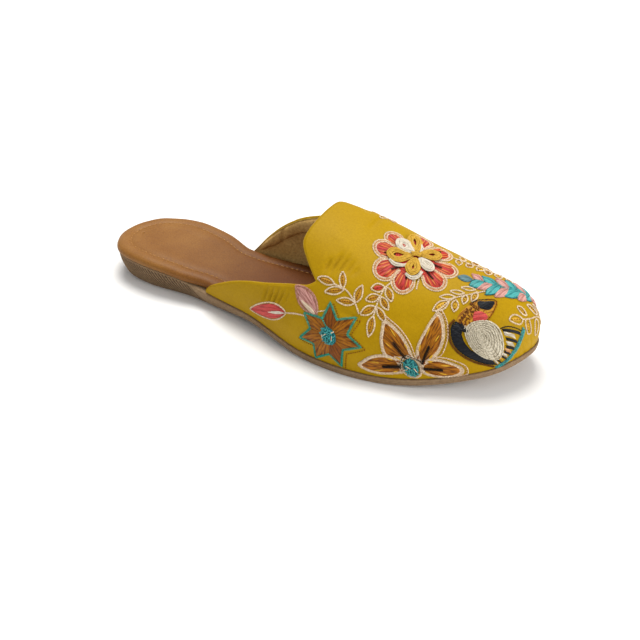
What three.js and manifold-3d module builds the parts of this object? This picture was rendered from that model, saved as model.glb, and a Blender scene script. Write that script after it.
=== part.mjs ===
// A flat mule for the right foot: a backless shoe with a high fabric vamp, low side wings, a padded
// footbed and a moulded sole with a low heel. It stands empty on its sole.
// Millimetres, +X towards the toe, +Y towards the inner side of the foot, +Z up. The origin is on the
// floor under the middle of the shoe.
import * as THREE from "three";
import { mergeVertices } from "three/addons/utils/BufferGeometryUtils.js";
import Module from "manifold-3d";

const wasm = await Module();
wasm.setup();

// Sole
const soleLength = 252;
const ballWidth = 88;
const heelThickness = 14.6;
const foreThickness = 4;
const archRise = 4;
const toeSpring = 11.5;
const heelBevel = 3;
const heelDip = 1.2;
const heelUndercut = 5;
const foreUndercut = 0.9;
const rimEase = 0.9;
const ribPitch = 1.6;
const ribDepth = 0.4;
const sideGroove = 0.45;
const treadGrooveDepth = 1.2;
const treadGrooveWidth = 1.8;
const treadGroovePitch = 9;
const treadGrooveMargin = 9;

// Footbed
const footbedThickness = 4.6;
const footbedRoll = 1.5;
const heelOverhang = 0.9;
const footbedShoulder = 18;
const stitchInset = 8;
const stitchDip = 0.5;
const stitchDipWidth = 3;

// Upper
const upperWall = 2;
const weltStep = 0.9;
const upperBulge = 1.8;
const bulgeHeight = 30;
const vampCrown = 60;
const toeRoundLength = 32;
const wingLength = 75;
const wingTipHeight = 1.6;
const lateralWingHeight = 38.5;
const medialWingHeight = 47;
const throatFromHeel = 148;
const tabSetback = 14;
const collarPad = 1.4;
const collarPadWidth = 8;
const collarPadRunOut = 12;

// Thread rosette on the vamp
const rosetteRadius = 13;
const rosetteLoops = 12;
const threadLoop = 1.5;
const rosetteBase = 0.5;

// Gap between pieces that meet
const fitGap = 0.3;

// The sole's outline, seen from above: how far each side stands out from the line between heel and
// toe, as a share of the ball width, at a share of the length from the heel.
const outlineTable = [
  { at: 0.008, lateral: 0.105, medial: 0.1 },
  { at: 0.042, lateral: 0.235, medial: 0.222 },
  { at: 0.12, lateral: 0.298, medial: 0.312 },
  { at: 0.25, lateral: 0.292, medial: 0.296 },
  { at: 0.4, lateral: 0.369, medial: 0.295 },
  { at: 0.55, lateral: 0.492, medial: 0.362 },
  { at: 0.68, lateral: 0.528, medial: 0.472 },
  { at: 0.8, lateral: 0.463, medial: 0.458 },
  { at: 0.9, lateral: 0.336, medial: 0.358 },
  { at: 0.965, lateral: 0.188, medial: 0.262 },
];
const toeTipShare = 0.1;

// The upper's sections across the foot: its crown over the sole as a share of vampCrown, where the
// ridge stands between the lateral and the medial edge, and how square each shoulder is.
const sectionTable = [
  { at: 0.28, crown: 0.93, ridge: 0.7, lateralPower: 2.4, medialPower: 2.4 },
  { at: 0.53, crown: 0.975, ridge: 0.72, lateralPower: 2.4, medialPower: 2.5 },
  { at: 0.585, crown: 0.96, ridge: 0.7, lateralPower: 2.4, medialPower: 2.5 },
  { at: 0.655, crown: 0.885, ridge: 0.65, lateralPower: 2.3, medialPower: 2.4 },
  { at: 0.715, crown: 0.82, ridge: 0.61, lateralPower: 2.2, medialPower: 2.3 },
  { at: 0.775, crown: 0.76, ridge: 0.59, lateralPower: 2.15, medialPower: 2.25 },
  { at: 0.835, crown: 0.69, ridge: 0.58, lateralPower: 2.1, medialPower: 2.2 },
  { at: 0.885, crown: 0.63, ridge: 0.57, lateralPower: 2.1, medialPower: 2.2 },
  { at: 0.935, crown: 0.61, ridge: 0.55, lateralPower: 2.1, medialPower: 2.2 },
  { at: 1.0, crown: 0.6, ridge: 0.5, lateralPower: 2.1, medialPower: 2.1 },
];

// The wings' top edge from tip to throat: its height over the sole, from wingTipHeight at 0 to the
// wing's own height at 1.
const wingTable = [
  { at: 0, lateral: 0, medial: 0 },
  { at: 0.055, lateral: 0.11, medial: 0.11 },
  { at: 0.16, lateral: 0.24, medial: 0.31 },
  { at: 0.28, lateral: 0.37, medial: 0.5 },
  { at: 0.42, lateral: 0.485, medial: 0.665 },
  { at: 0.58, lateral: 0.61, medial: 0.79 },
  { at: 0.72, lateral: 0.735, medial: 0.87 },
  { at: 0.84, lateral: 0.835, medial: 0.92 },
  { at: 0.94, lateral: 0.91, medial: 0.965 },
  { at: 1, lateral: 1, medial: 1 },
];

// The tab over the instep, across the foot from one throat corner to the other: how far its edge
// lies behind the throat, as a share of tabSetback.
const tabTable = [
  { at: 0, back: 0 },
  { at: 0.09, back: 0.56 },
  { at: 0.17, back: 0.98 },
  { at: 0.23, back: 1.09 },
  { at: 0.42, back: 1.03 },
  { at: 0.6, back: 0.97 },
  { at: 0.69, back: 0.86 },
  { at: 0.85, back: 0.46 },
  { at: 1, back: 0 },
];

// The padded roll inside the collar: depth below the top edge as a share of the pad's width, and
// thickness as a share of collarPad. On a low wing the pad takes padShare of its height.
const padTable = [
  { drop: 1, swell: 0 },
  { drop: 0.85, swell: 0.7 },
  { drop: 0.55, swell: 1 },
  { drop: 0.2, swell: 0.9 },
  { drop: 0, swell: 0.3 },
];
const padShare = 0.45;

// The sole's wall from tread to rim, each row a level of the wall: how much of the undercut, the
// rounding, the ribs and the lengthwise groove it has.
const wallTable = [
  { level: 0, undercut: 1, ease: 1, rib: 0, groove: 0 },
  { level: 0.14, undercut: 0.82, ease: 0, rib: 0.4, groove: 0 },
  { level: 0.4, undercut: 0.42, ease: 0, rib: 1, groove: 0 },
  { level: 0.5, undercut: 0.3, ease: 0, rib: 1, groove: 1 },
  { level: 0.6, undercut: 0.2, ease: 0, rib: 1, groove: 0 },
  { level: 0.93, undercut: 0, ease: 0, rib: 0.6, groove: 0 },
  { level: 1, undercut: 0, ease: 0.55, rib: 0, groove: 0 },
];

// The footbed's rolled edge from its underside to its top: inset as a share of footbedRoll, height
// as a share of footbedThickness.
const footbedEdgeTable = [
  { inset: 0.9, level: 0 },
  { inset: 0, level: 0.32 },
  { inset: 0.15, level: 0.66 },
  { inset: 0.9, level: 0.9 },
  { inset: 2.4, level: 1 },
];

// The rosette from its rim to its middle: radius as a share of rosetteRadius, height and the
// loops' waves as shares of threadLoop.
const rosetteTable = [
  { out: 1, lift: 0.25, wave: 0.1 },
  { out: 0.88, lift: 0.8, wave: 0.3 },
  { out: 0.7, lift: 1, wave: 0.32 },
  { out: 0.5, lift: 0.8, wave: 0.25 },
  { out: 0.3, lift: 0.5, wave: 0.15 },
  { out: 0.12, lift: 0.75, wave: 0.05 },
];
const rosetteBackRings = [0.32, 0.63, 0.94];
const rosetteScallop = 0.05;
const stepsPerLoop = 4;

// Where things lie along the sole, as shares of its length
const heelBevelEnd = 0.05;
const wedgeFrom = 0.1;
const wedgeTo = 0.48;
const archFrom = 0.27;
const archTo = 0.6;
const springFrom = 0.74;
const undercutFadeFrom = 0.2;
const undercutFadeTo = 0.5;
const ribEnd = 0.3;
const grooveFull = 0.38;
const treadGrooveBands = [
  { from: 0.07, to: 0.24 },
  { from: 0.6, to: 0.86 },
];
const rosetteAt = 0.739;
const rosetteTurn = 0.44 * Math.PI;

// Fineness of the meshes
const outlineSteps = 600;
const soleSteps = 36;
const footbedSteps = 56;
const wingColumns = 16;
const plainWingRows = 5;
const vampColumns = 20;
const tabColumns = 4;
const tabRows = 14;
const tabCornerBunch = 0.08;
const tiny = 1e-6;

const share = (x) => x / soleLength;
const clamp01 = (value) => Math.min(1, Math.max(0, value));

function smooth(from, to, value) {
  const t = clamp01((value - from) / (to - from));
  return t * t * (3 - 2 * t);
}

// A smooth curve through one column of a table, by its column "at".
function throughTable(rows, column) {
  const slope = rows.map((row, i) => {
    const before = rows[Math.max(i - 1, 0)];
    const after = rows[Math.min(i + 1, rows.length - 1)];
    return (after[column] - before[column]) / (after.at - before.at);
  });
  return (at) => {
    let i = 0;
    while (i < rows.length - 2 && at > rows[i + 1].at) i += 1;
    const span = rows[i + 1].at - rows[i].at;
    const t = clamp01((at - rows[i].at) / span);
    const rise = t * t * (3 - 2 * t);
    const leave = t * (1 - t) * (1 - t) * span * slope[i];
    const arrive = t * t * (t - 1) * span * slope[i + 1];
    return rows[i][column] * (1 - rise) + rows[i + 1][column] * rise + leave + arrive;
  };
}

// Heights over the floor along the sole
const heelEnd = (x) => clamp01(1 - share(x) / heelBevelEnd) ** 2;

function treadHeight(x) {
  const arch = Math.sin(Math.PI * clamp01((share(x) - archFrom) / (archTo - archFrom))) ** 2;
  const toe = clamp01((share(x) - springFrom) / (1 - springFrom)) ** 1.6;
  return heelBevel * heelEnd(x) + archRise * arch + toeSpring * toe;
}

function sideThickness(x) {
  const wedge = 1 - smooth(wedgeFrom, wedgeTo, share(x));
  return foreThickness + (heelThickness - foreThickness) * wedge - (heelBevel + heelDip) * heelEnd(x);
}

const soleTop = (x) => treadHeight(x) + sideThickness(x);
const featherline = (x) => soleTop(x) + fitGap;

// The outline is one closed curve: heel, lateral side, toe, medial side.
const heelPoint = new THREE.Vector3(0, 0, 0);
const toePoint = new THREE.Vector3(soleLength, toeTipShare * ballWidth, 0);

function makeOutline() {
  const place = (row, y) => new THREE.Vector3(row.at * soleLength, y * ballWidth, 0);
  const lateral = outlineTable.map((row) => place(row, -row.lateral));
  const medial = outlineTable.map((row) => place(row, row.medial)).reverse();
  const knots = [heelPoint, ...lateral, toePoint, ...medial];
  return new THREE.CatmullRomCurve3(knots, true, "centripetal");
}

const outline = makeOutline();
const toeAlong = 0.5;

// One side of the outline as closely spaced points from heel to toe, moved in by an inset.
function sideLine(side, inset = 0) {
  const line = [];
  for (let i = 0; i <= outlineSteps; i += 1) {
    const fromHeel = (i / outlineSteps) * toeAlong;
    const along = (side === "lateral" ? fromHeel : 1 - fromHeel) % 1;
    const tangent = outline.getTangent(along);
    const outward = new THREE.Vector3(tangent.y, -tangent.x, 0);
    line.push(outline.getPoint(along).addScaledVector(outward, -inset));
  }
  return line;
}

// The y of one side's edge at x, moved in by an inset. Each line is made once and kept.
const edgeLines = new Map();

function edgeY(side, x, inset) {
  const key = `${side} ${inset}`;
  if (!edgeLines.has(key)) edgeLines.set(key, sideLine(side, inset));
  const line = edgeLines.get(key);
  let low = 0;
  let high = line.length - 1;
  while (high - low > 1) {
    const half = (low + high) >> 1;
    if (line[half].x < x) low = half;
    else high = half;
  }
  const t = clamp01((x - line[low].x) / (line[high].x - line[low].x));
  return line[low].y + t * (line[high].y - line[low].y);
}

// Points along a line at the given distances from its start.
function atDistances(line, distances) {
  const travelled = [0];
  for (let i = 1; i < line.length; i += 1) {
    travelled.push(travelled[i - 1] + line[i].distanceTo(line[i - 1]));
  }
  let i = 0;
  return distances.map((distance) => {
    while (i < line.length - 2 && travelled[i + 1] < distance) i += 1;
    const t = clamp01((distance - travelled[i]) / (travelled[i + 1] - travelled[i]));
    return line[i].clone().lerp(line[i + 1], t);
  });
}

function lengthUpTo(line, x) {
  let sum = 0;
  for (let i = 1; i < line.length && line[i].x <= x; i += 1) sum += line[i].distanceTo(line[i - 1]);
  return sum;
}

// A ring of outline points with their outward directions, heel first, then lateral side, toe and
// medial side. The two sides have the same number of points, so that caps can run across.
function outlineRing(ribCount, plainCount) {
  const half = (side) => {
    const line = sideLine(side);
    const whole = lengthUpTo(line, Infinity);
    const ribbed = ribCount ? lengthUpTo(line, ribEnd * soleLength) : 0;
    const distances = [];
    for (let i = 1; i <= 2 * ribCount; i += 1) distances.push((ribbed * i) / (2 * ribCount));
    for (let i = 1; i < plainCount; i += 1) {
      distances.push(ribbed + ((whole - ribbed) * i) / plainCount);
    }
    return atDistances(line, distances);
  };
  const points = [heelPoint, ...half("lateral"), toePoint, ...half("medial").reverse()];
  const outward = points.map((_, i) => {
    const before = points[(i + points.length - 1) % points.length];
    const after = points[(i + 1) % points.length];
    const along = after.clone().sub(before);
    return new THREE.Vector3(along.y, -along.x, 0).normalize();
  });
  return { points, outward };
}

// A closed solid from rows of points, lowest first. Each row is one ring of the outline; the lowest
// and the highest are closed by strips that run across the foot.
function solidFromRows(rows) {
  const count = rows[0].length;
  const top = (rows.length - 1) * count;
  const index = [];
  rows.slice(1).forEach((_, r) => {
    for (let j = 0; j < count; j += 1) {
      const a = r * count + j;
      const b = r * count + ((j + 1) % count);
      index.push(a, b, b + count, a, b + count, a + count);
    }
  });
  const addFace = (p, q, r) => {
    if (p !== q && q !== r && r !== p) index.push(p, q, r);
  };
  for (let j = 0; j < count / 2; j += 1) {
    const a = j;
    const b = j + 1;
    const c = count - j - 1;
    const d = (count - j) % count;
    addFace(a, c, b);
    addFace(a, d, c);
    addFace(top + a, top + b, top + c);
    addFace(top + a, top + c, top + d);
  }
  const geometry = new THREE.BufferGeometry().setFromPoints(rows.flat());
  geometry.setIndex(index);
  return toManifold(geometry);
}

function toManifold(geometry) {
  const bare = geometry.clone();
  bare.deleteAttribute("normal");
  bare.deleteAttribute("uv");
  const merged = mergeVertices(bare, 1e-4);
  const mesh = new wasm.Mesh({
    numProp: 3,
    vertProperties: new Float32Array(merged.attributes.position.array),
    triVerts: new Uint32Array(merged.index.array),
  });
  return new wasm.Manifold(mesh);
}

function fromManifold(solid) {
  const mesh = solid.getMesh();
  const geometry = new THREE.BufferGeometry();
  geometry.setAttribute("position", new THREE.Float32BufferAttribute(mesh.vertProperties, 3));
  geometry.setIndex(new THREE.BufferAttribute(new Uint32Array(mesh.triVerts), 1));
  geometry.computeVertexNormals();
  return geometry;
}

// Outsole: a wall that leans out from the tread to the rim, ribbed round the heel and grooved
// lengthwise along the forefoot, with grooves across its tread.
function outsoleBody() {
  const ribbedLength = lengthUpTo(sideLine("lateral"), ribEnd * soleLength);
  const ribCount = Math.round(ribbedLength / ribPitch);
  const ring = outlineRing(ribCount, soleSteps);
  const last = ring.points.length;
  const rows = wallTable.map((row) =>
    ring.points.map((point, i) => {
      const fromHeel = Math.min(i, last - i);
      const inRib = fromHeel <= 2 * ribCount && fromHeel % 2 === 1;
      const forePart = smooth(undercutFadeFrom, undercutFadeTo, share(point.x));
      const undercut = heelUndercut + (foreUndercut - heelUndercut) * forePart;
      const groove = sideGroove * smooth(ribEnd, grooveFull, share(point.x));
      const rib = inRib ? ribDepth : 0;
      const inset = undercut * row.undercut + rimEase * row.ease + rib * row.rib + groove * row.groove;
      const placed = point.clone().addScaledVector(ring.outward[i], -inset);
      return placed.setZ(treadHeight(point.x) + sideThickness(point.x) * row.level);
    }),
  );
  return solidFromRows(rows);
}

// A shallow groove across the tread, with round ends, between the two sides of the outline.
function treadGroove(x) {
  const half = treadGrooveWidth / 2;
  const shape = new THREE.Shape();
  shape.absarc(0, edgeY("lateral", x, treadGrooveMargin), half, Math.PI, 2 * Math.PI);
  shape.absarc(0, edgeY("medial", x, treadGrooveMargin), half, 0, Math.PI);
  shape.closePath();
  const depth = 2 * treadGrooveDepth;
  const bar = new THREE.ExtrudeGeometry(shape, { depth, bevelEnabled: false, curveSegments: 4 });
  return toManifold(bar.translate(x, 0, treadHeight(x) - treadGrooveDepth));
}

function makeOutsole() {
  let solid = outsoleBody();
  treadGrooveBands.forEach((band) => {
    const count = Math.floor(((band.to - band.from) * soleLength) / treadGroovePitch);
    for (let i = 0; i <= count; i += 1) {
      solid = solid.subtract(treadGroove(band.from * soleLength + i * treadGroovePitch));
    }
  });
  return fromManifold(solid);
}

// Footbed: a board with a rolled, padded edge and a stitched dip all round. Behind the wings it
// hangs over the sole's rim, and beside the upper it stays inside the wall.
function footbedInset(x) {
  const inside = weltStep + upperWall + fitGap;
  const wingTip = throatFromHeel - wingLength;
  return (inside + heelOverhang) * smooth(wingTip - footbedShoulder, wingTip, x) - heelOverhang;
}

function makeFootbed() {
  const ring = outlineRing(0, footbedSteps);
  const place = (inset, level, dip) =>
    ring.points.map((point, i) => {
      const placed = point.clone().addScaledVector(ring.outward[i], -footbedInset(point.x) - inset);
      return placed.setZ(featherline(point.x) + footbedThickness * level - dip);
    });
  const edge = footbedEdgeTable.map((row) => place(row.inset * footbedRoll, row.level, 0));
  const dip = [
    place(stitchInset - stitchDipWidth / 2, 1, 0),
    place(stitchInset, 1, stitchDip),
    place(stitchInset + stitchDipWidth / 2, 1, 0),
  ];
  return fromManifold(solidFromRows([...edge, ...dip]));
}

// The upper's outer surface: a point over the sole at x, with turn running from 0 at the lateral
// edge over the ridge to PI at the medial edge. All turns meet at the toe.
const crownShare = throughTable(sectionTable, "crown");
const ridgeShare = throughTable(sectionTable, "ridge");
const lateralPower = throughTable(sectionTable, "lateralPower");
const medialPower = throughTable(sectionTable, "medialPower");
const toeEnd = sideLine("lateral", weltStep).at(-1);
const toeRoundness = 2.2;

function crownHeight(x) {
  const fromEnd = clamp01((toeEnd.x - x) / toeRoundLength);
  const round = (1 - (1 - fromEnd) ** toeRoundness) ** (1 / toeRoundness);
  return vampCrown * crownShare(share(x)) * round;
}

function plainUpperPoint(x, turn) {
  if (x > toeEnd.x - tiny) return toeEnd.clone().setZ(featherline(toeEnd.x));
  const lateral = edgeY("lateral", x, weltStep);
  const medial = edgeY("medial", x, weltStep);
  const ridge = lateral + ridgeShare(share(x)) * (medial - lateral);
  const onLateral = turn <= Math.PI / 2;
  const power = (onLateral ? lateralPower : medialPower)(share(x));
  const reach = Math.abs(Math.cos(turn)) ** (2 / power);
  const rise = Math.abs(Math.sin(turn)) ** (2 / power);
  const y = ridge + ((onLateral ? lateral : medial) - ridge) * reach;
  return new THREE.Vector3(x, y, featherline(x) + crownHeight(x) * rise);
}

// The outward direction of a surface that is given as a function of x and turn.
function outwardOf(surface, x, turn) {
  if (x > toeEnd.x - tiny) return new THREE.Vector3(1, 0, 0);
  const dx = Math.min(0.4, (toeEnd.x - x) * 0.3);
  const low = Math.max(turn - 0.01, 0);
  const high = Math.min(turn + 0.01, Math.PI);
  const along = surface(x + dx, turn).sub(surface(x - dx, turn));
  const round = surface(x, high).sub(surface(x, low));
  const normal = along.cross(round).normalize();
  const atEdge = low === 0 || high === Math.PI;
  return atEdge ? normal.setZ(0).normalize() : normal;
}

// The wall swells out between the sole's edge and bulgeHeight, as the last does.
function upperPoint(x, turn) {
  const point = plainUpperPoint(x, turn);
  const swell = Math.sin(Math.PI * clamp01((point.z - featherline(x)) / bulgeHeight));
  const outward = outwardOf(plainUpperPoint, x, turn).setZ(0);
  return point.addScaledVector(outward, upperBulge * swell);
}

const upperNormal = (x, turn) => outwardOf(upperPoint, x, turn);

// The turn, counted from its own side's edge, at which the surface is that high over the sole.
function turnAtHeight(x, height, side) {
  const power = (side === "lateral" ? lateralPower : medialPower)(share(x));
  return Math.asin(clamp01(height / crownHeight(x)) ** (power / 2));
}

// The upper is made of patches, each a grid of places {x, turn, pad}: a wing on each side, the tab
// and the vamp. Patches that meet share the places on their common line.
const wingTipX = throatFromHeel - wingLength;
const throatTurn = {
  lateral: turnAtHeight(throatFromHeel, lateralWingHeight, "lateral"),
  medial: turnAtHeight(throatFromHeel, medialWingHeight, "medial"),
};
const wingRise = {
  lateral: throughTable(wingTable, "lateral"),
  medial: throughTable(wingTable, "medial"),
};
const wingHeight = { lateral: lateralWingHeight, medial: medialWingHeight };

function wingTop(x, side) {
  const rise = wingRise[side]((x - wingTipX) / wingLength);
  return wingTipHeight + (wingHeight[side] - wingTipHeight) * rise;
}

function wingColumn(x, side) {
  const height = wingTop(x, side);
  const padWidth = Math.min(collarPadWidth, padShare * height);
  const runOut = 1 - smooth(throatFromHeel - collarPadRunOut, throatFromHeel - 1, x);
  const thick = collarPad * smooth(footbedThickness, 3 * footbedThickness, height) * runOut;
  const places = [];
  for (let row = 0; row < plainWingRows; row += 1) {
    places.push({ level: ((height - padWidth) * row) / plainWingRows, pad: 0 });
  }
  padTable.forEach((row) => {
    places.push({ level: height - padWidth * row.drop, pad: thick * row.swell });
  });
  return places.map(({ level, pad }) => {
    const turn = turnAtHeight(x, level, side);
    return { x, turn: side === "lateral" ? turn : Math.PI - turn, pad };
  });
}

function wingPatch(side) {
  const columns = [];
  for (let i = 0; i <= wingColumns; i += 1) {
    columns.push(wingColumn(wingTipX + (wingLength * i) / wingColumns, side));
  }
  return columns;
}

function tabTurns() {
  const turns = [];
  for (let i = 0; i <= tabRows; i += 1) {
    const across = i / tabRows;
    const bunched = across - Math.sin(2 * Math.PI * across) * tabCornerBunch;
    turns.push(throatTurn.lateral + (Math.PI - throatTurn.medial - throatTurn.lateral) * bunched);
  }
  return turns;
}

const tabBack = throughTable(tabTable, "back");

function tabPatch() {
  const turns = tabTurns();
  const first = turns[0];
  const span = turns.at(-1) - first;
  const columns = [];
  for (let i = 0; i <= tabColumns; i += 1) {
    columns.push(
      turns.map((turn) => {
        const back = tabSetback * tabBack((turn - first) / span) * (1 - i / tabColumns);
        return { x: throatFromHeel - back, turn, pad: 0 };
      }),
    );
  }
  return columns;
}

function vampPatch() {
  const lateral = wingColumn(throatFromHeel, "lateral").map((place) => place.turn);
  const medial = wingColumn(throatFromHeel, "medial").map((place) => place.turn);
  const turns = [...lateral.slice(0, -1), ...tabTurns(), ...medial.reverse().slice(1)];
  const columns = [];
  for (let i = 0; i <= vampColumns; i += 1) {
    const along = Math.sin(((i / vampColumns) * Math.PI) / 2);
    const x = throatFromHeel + (toeEnd.x - throatFromHeel) * along;
    columns.push(turns.map((turn) => ({ x, turn, pad: 0 })));
  }
  return columns;
}

const outerPoint = ({ x, turn }) => upperPoint(x, turn);
const innerPoint = ({ x, turn, pad }) =>
  upperPoint(x, turn).addScaledVector(upperNormal(x, turn), -(upperWall + pad));

function makeUpper() {
  const corners = [];
  const addFace = (a, b, c) => {
    const flat = a.distanceTo(b) < tiny || b.distanceTo(c) < tiny || c.distanceTo(a) < tiny;
    if (!flat) corners.push(a, b, c);
  };
  const addQuad = (a, b, c, d, facing) => {
    addFace(a, facing > 0 ? b : c, facing > 0 ? c : b);
    addFace(a, facing > 0 ? c : d, facing > 0 ? d : c);
  };
  const addPatch = (columns, facing) => {
    const outer = columns.map((column) => column.map(outerPoint));
    const inner = columns.map((column) => column.map(innerPoint));
    for (let i = 0; i < columns.length - 1; i += 1) {
      for (let j = 0; j < columns[0].length - 1; j += 1) {
        addQuad(outer[i][j], outer[i + 1][j], outer[i + 1][j + 1], outer[i][j + 1], facing);
        addQuad(inner[i][j], inner[i + 1][j], inner[i + 1][j + 1], inner[i][j + 1], -facing);
      }
    }
    return { outer, inner };
  };
  // A strip that joins the outer and the inner skin along an open edge.
  const addEdge = (outer, inner, facing) => {
    for (let i = 0; i < outer.length - 1; i += 1) {
      addQuad(outer[i], outer[i + 1], inner[i + 1], inner[i], facing);
    }
  };
  const top = (grid) => grid.map((column) => column.at(-1));
  const foot = (grid) => grid.map((column) => column[0]);

  const wings = [
    { grid: addPatch(wingPatch("lateral"), 1), facing: 1 },
    { grid: addPatch(wingPatch("medial"), -1), facing: -1 },
  ];
  wings.forEach(({ grid, facing }) => {
    addEdge(top(grid.outer), top(grid.inner), facing);
    addEdge(foot(grid.outer), foot(grid.inner), -facing);
    addEdge(grid.outer[0], grid.inner[0], facing);
  });
  const tab = addPatch(tabPatch(), 1);
  addEdge(tab.outer[0], tab.inner[0], 1);
  const vamp = addPatch(vampPatch(), 1);
  addEdge(foot(vamp.outer), foot(vamp.inner), -1);
  addEdge(top(vamp.outer), top(vamp.inner), 1);
  return fromManifold(toManifold(new THREE.BufferGeometry().setFromPoints(corners)));
}

// Thread rosette: a low disc that follows the vamp, raised into loops of thick thread.
function makeRosette() {
  const x0 = rosetteAt * soleLength;
  const alongX = upperPoint(x0 + 1, rosetteTurn).distanceTo(upperPoint(x0 - 1, rosetteTurn)) / 2;
  const oneWay = upperPoint(x0, rosetteTurn + 0.02);
  const alongTurn = oneWay.distanceTo(upperPoint(x0, rosetteTurn - 0.02)) / 0.04;
  const place = (radius, angle, height) => {
    const x = x0 + (radius * Math.cos(angle)) / alongX;
    const turn = rosetteTurn + (radius * Math.sin(angle)) / alongTurn;
    return upperPoint(x, turn).addScaledVector(upperNormal(x, turn), height);
  };
  const around = rosetteLoops * stepsPerLoop;
  const ringAt = (out, height, wave) => {
    const ring = [];
    for (let j = 0; j < around; j += 1) {
      const angle = (2 * Math.PI * j) / around;
      const loop = Math.cos(rosetteLoops * angle);
      const radius = rosetteRadius * out * (1 + rosetteScallop * loop);
      ring.push(place(radius, angle, height + threadLoop * wave * loop));
    }
    return ring;
  };
  const face = fitGap + rosetteBase;
  const rings = [
    ...rosetteBackRings.map((out) => ringAt(out, fitGap, 0)),
    ...rosetteTable.map((row) => ringAt(row.out, face + threadLoop * row.lift, row.wave)),
  ];
  const middleTop = face + threadLoop * rosetteTable.at(-1).lift;
  const points = [place(0, 0, fitGap), ...rings.flat(), place(0, 0, middleTop)];
  const index = [];
  const ringStart = (k) => 1 + k * around;
  for (let j = 0; j < around; j += 1) {
    const next = (j + 1) % around;
    index.push(0, ringStart(0) + next, ringStart(0) + j);
    for (let k = 0; k < rings.length - 1; k += 1) {
      const a = ringStart(k) + j;
      const b = ringStart(k) + next;
      index.push(a, b, b + around, a, b + around, a + around);
    }
    const lastRing = ringStart(rings.length - 1);
    index.push(lastRing + j, lastRing + next, points.length - 1);
  }
  const geometry = new THREE.BufferGeometry().setFromPoints(points);
  geometry.setIndex(index);
  return fromManifold(toManifold(geometry));
}

// The finished shoe
const tpr = new THREE.MeshStandardMaterial({ color: 0x7a6450, roughness: 0.8 });
const leather = new THREE.MeshStandardMaterial({ color: 0xb07f4b, roughness: 0.6 });
const fabric = new THREE.MeshStandardMaterial({ color: 0xc9a31c, roughness: 0.75 });
const thread = new THREE.MeshStandardMaterial({ color: 0xe0b040, roughness: 0.6 });

const pieces = [
  { name: "outsole", geometry: makeOutsole(), material: tpr },
  { name: "footbed", geometry: makeFootbed(), material: leather },
  { name: "upper", geometry: makeUpper(), material: fabric },
  { name: "thread_rosette", geometry: makeRosette(), material: thread },
];

const box = new THREE.Box3();
pieces.forEach(({ geometry }) => {
  geometry.computeBoundingBox();
  box.union(geometry.boundingBox);
});
const middle = box.getCenter(new THREE.Vector3());

const flatMule = new THREE.Group();
flatMule.name = "flat_mule";
pieces.forEach(({ name, geometry, material }) => {
  geometry.translate(-middle.x, -middle.y, -box.min.z);
  const mesh = new THREE.Mesh(geometry, material);
  mesh.name = name;
  flatMule.add(mesh);
});

export default flatMule;
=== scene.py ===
import math

import bmesh
import bpy
import numpy as np
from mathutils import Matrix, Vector


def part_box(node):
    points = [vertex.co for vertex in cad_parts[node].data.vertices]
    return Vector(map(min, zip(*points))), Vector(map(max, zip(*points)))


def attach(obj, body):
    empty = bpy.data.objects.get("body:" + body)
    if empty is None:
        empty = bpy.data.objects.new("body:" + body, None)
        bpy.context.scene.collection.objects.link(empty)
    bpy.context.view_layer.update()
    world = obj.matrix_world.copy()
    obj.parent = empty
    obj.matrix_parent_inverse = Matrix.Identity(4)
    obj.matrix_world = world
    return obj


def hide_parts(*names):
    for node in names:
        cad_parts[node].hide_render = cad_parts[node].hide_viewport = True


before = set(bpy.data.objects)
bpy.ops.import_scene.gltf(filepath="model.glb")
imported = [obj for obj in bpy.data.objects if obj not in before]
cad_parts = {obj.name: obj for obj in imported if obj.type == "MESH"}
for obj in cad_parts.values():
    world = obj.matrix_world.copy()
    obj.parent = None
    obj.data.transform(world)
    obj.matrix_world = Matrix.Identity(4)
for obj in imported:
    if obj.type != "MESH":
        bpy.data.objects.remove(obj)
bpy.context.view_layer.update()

# A flat mule for the right foot. Sizes are millimetres in the shoe's own layout: x from the back of
# the sole to its toe, y from the line between heel and toe to the inner side, z up from the floor.
# make_piece() takes them to metres in the frame.
MM = 0.001

# Sole
SOLE_LENGTH = 252.0
BALL_WIDTH = 88.0
HEEL_THICKNESS = 14.6
FORE_THICKNESS = 4.0
ARCH_RISE = 4.0
TOE_SPRING = 11.5
HEEL_BEVEL = 3.0
HEEL_DIP = 1.2
HEEL_UNDERCUT = 5.0
FORE_UNDERCUT = 0.9
RIM_EASE = 0.9
RIB_PITCH = 2.2
RIB_DEPTH = 0.6
RIB_SLANT = 0.6
RIB_END = 0.3
SIDE_GROOVE = 0.3
TREAD_BAR_DEPTH = 1.2
TREAD_BAR_PITCH = 9.0
TREAD_FINE_DEPTH = 0.22
TREAD_WAVE = 2.2
TREAD_WAVE_LENGTH = 16.0
TREAD_PITCH = 4.5
TREAD_MARGIN = 9.0
TREAD_BANK_FADE = (0.004, 0.012)
# Places along the length, as shares of it
HEEL_ROUND = 0.05
ARCH_START = 0.27
ARCH_SPAN = 0.33
TOE_SPRING_START = 0.74
TOE_SPRING_POWER = 1.6
WEDGE_START = 0.1
WEDGE_END = 0.48
# Where the two banks of bars start and end, as shares of the length
TREAD_BANKS = ((0.07, 0.24), (0.6, 0.86))
# The grooves on the sole's side: heights and half width as shares of its thickness
SIDE_GROOVES = (0.36, 0.62)
SIDE_GROOVE_WIDTH = 0.06
# How evenly the undercut runs in under the rim: higher keeps it close to the floor
UNDERCUT_POWER = 1.8
TOP_EASE = 0.5

# Footbed
FOOTBED_THICKNESS = 4.6
HEEL_OVERHANG = 0.9
FOOTBED_SHOULDER = 18.0
BORDER_PUCKER = 0.1
STITCH_INSET = 8.0
STITCH_DIP = 0.55
STITCH_PITCH = 3.1
STITCH_LENGTH = 2.0
STITCH_RADIUS = 0.28

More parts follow.
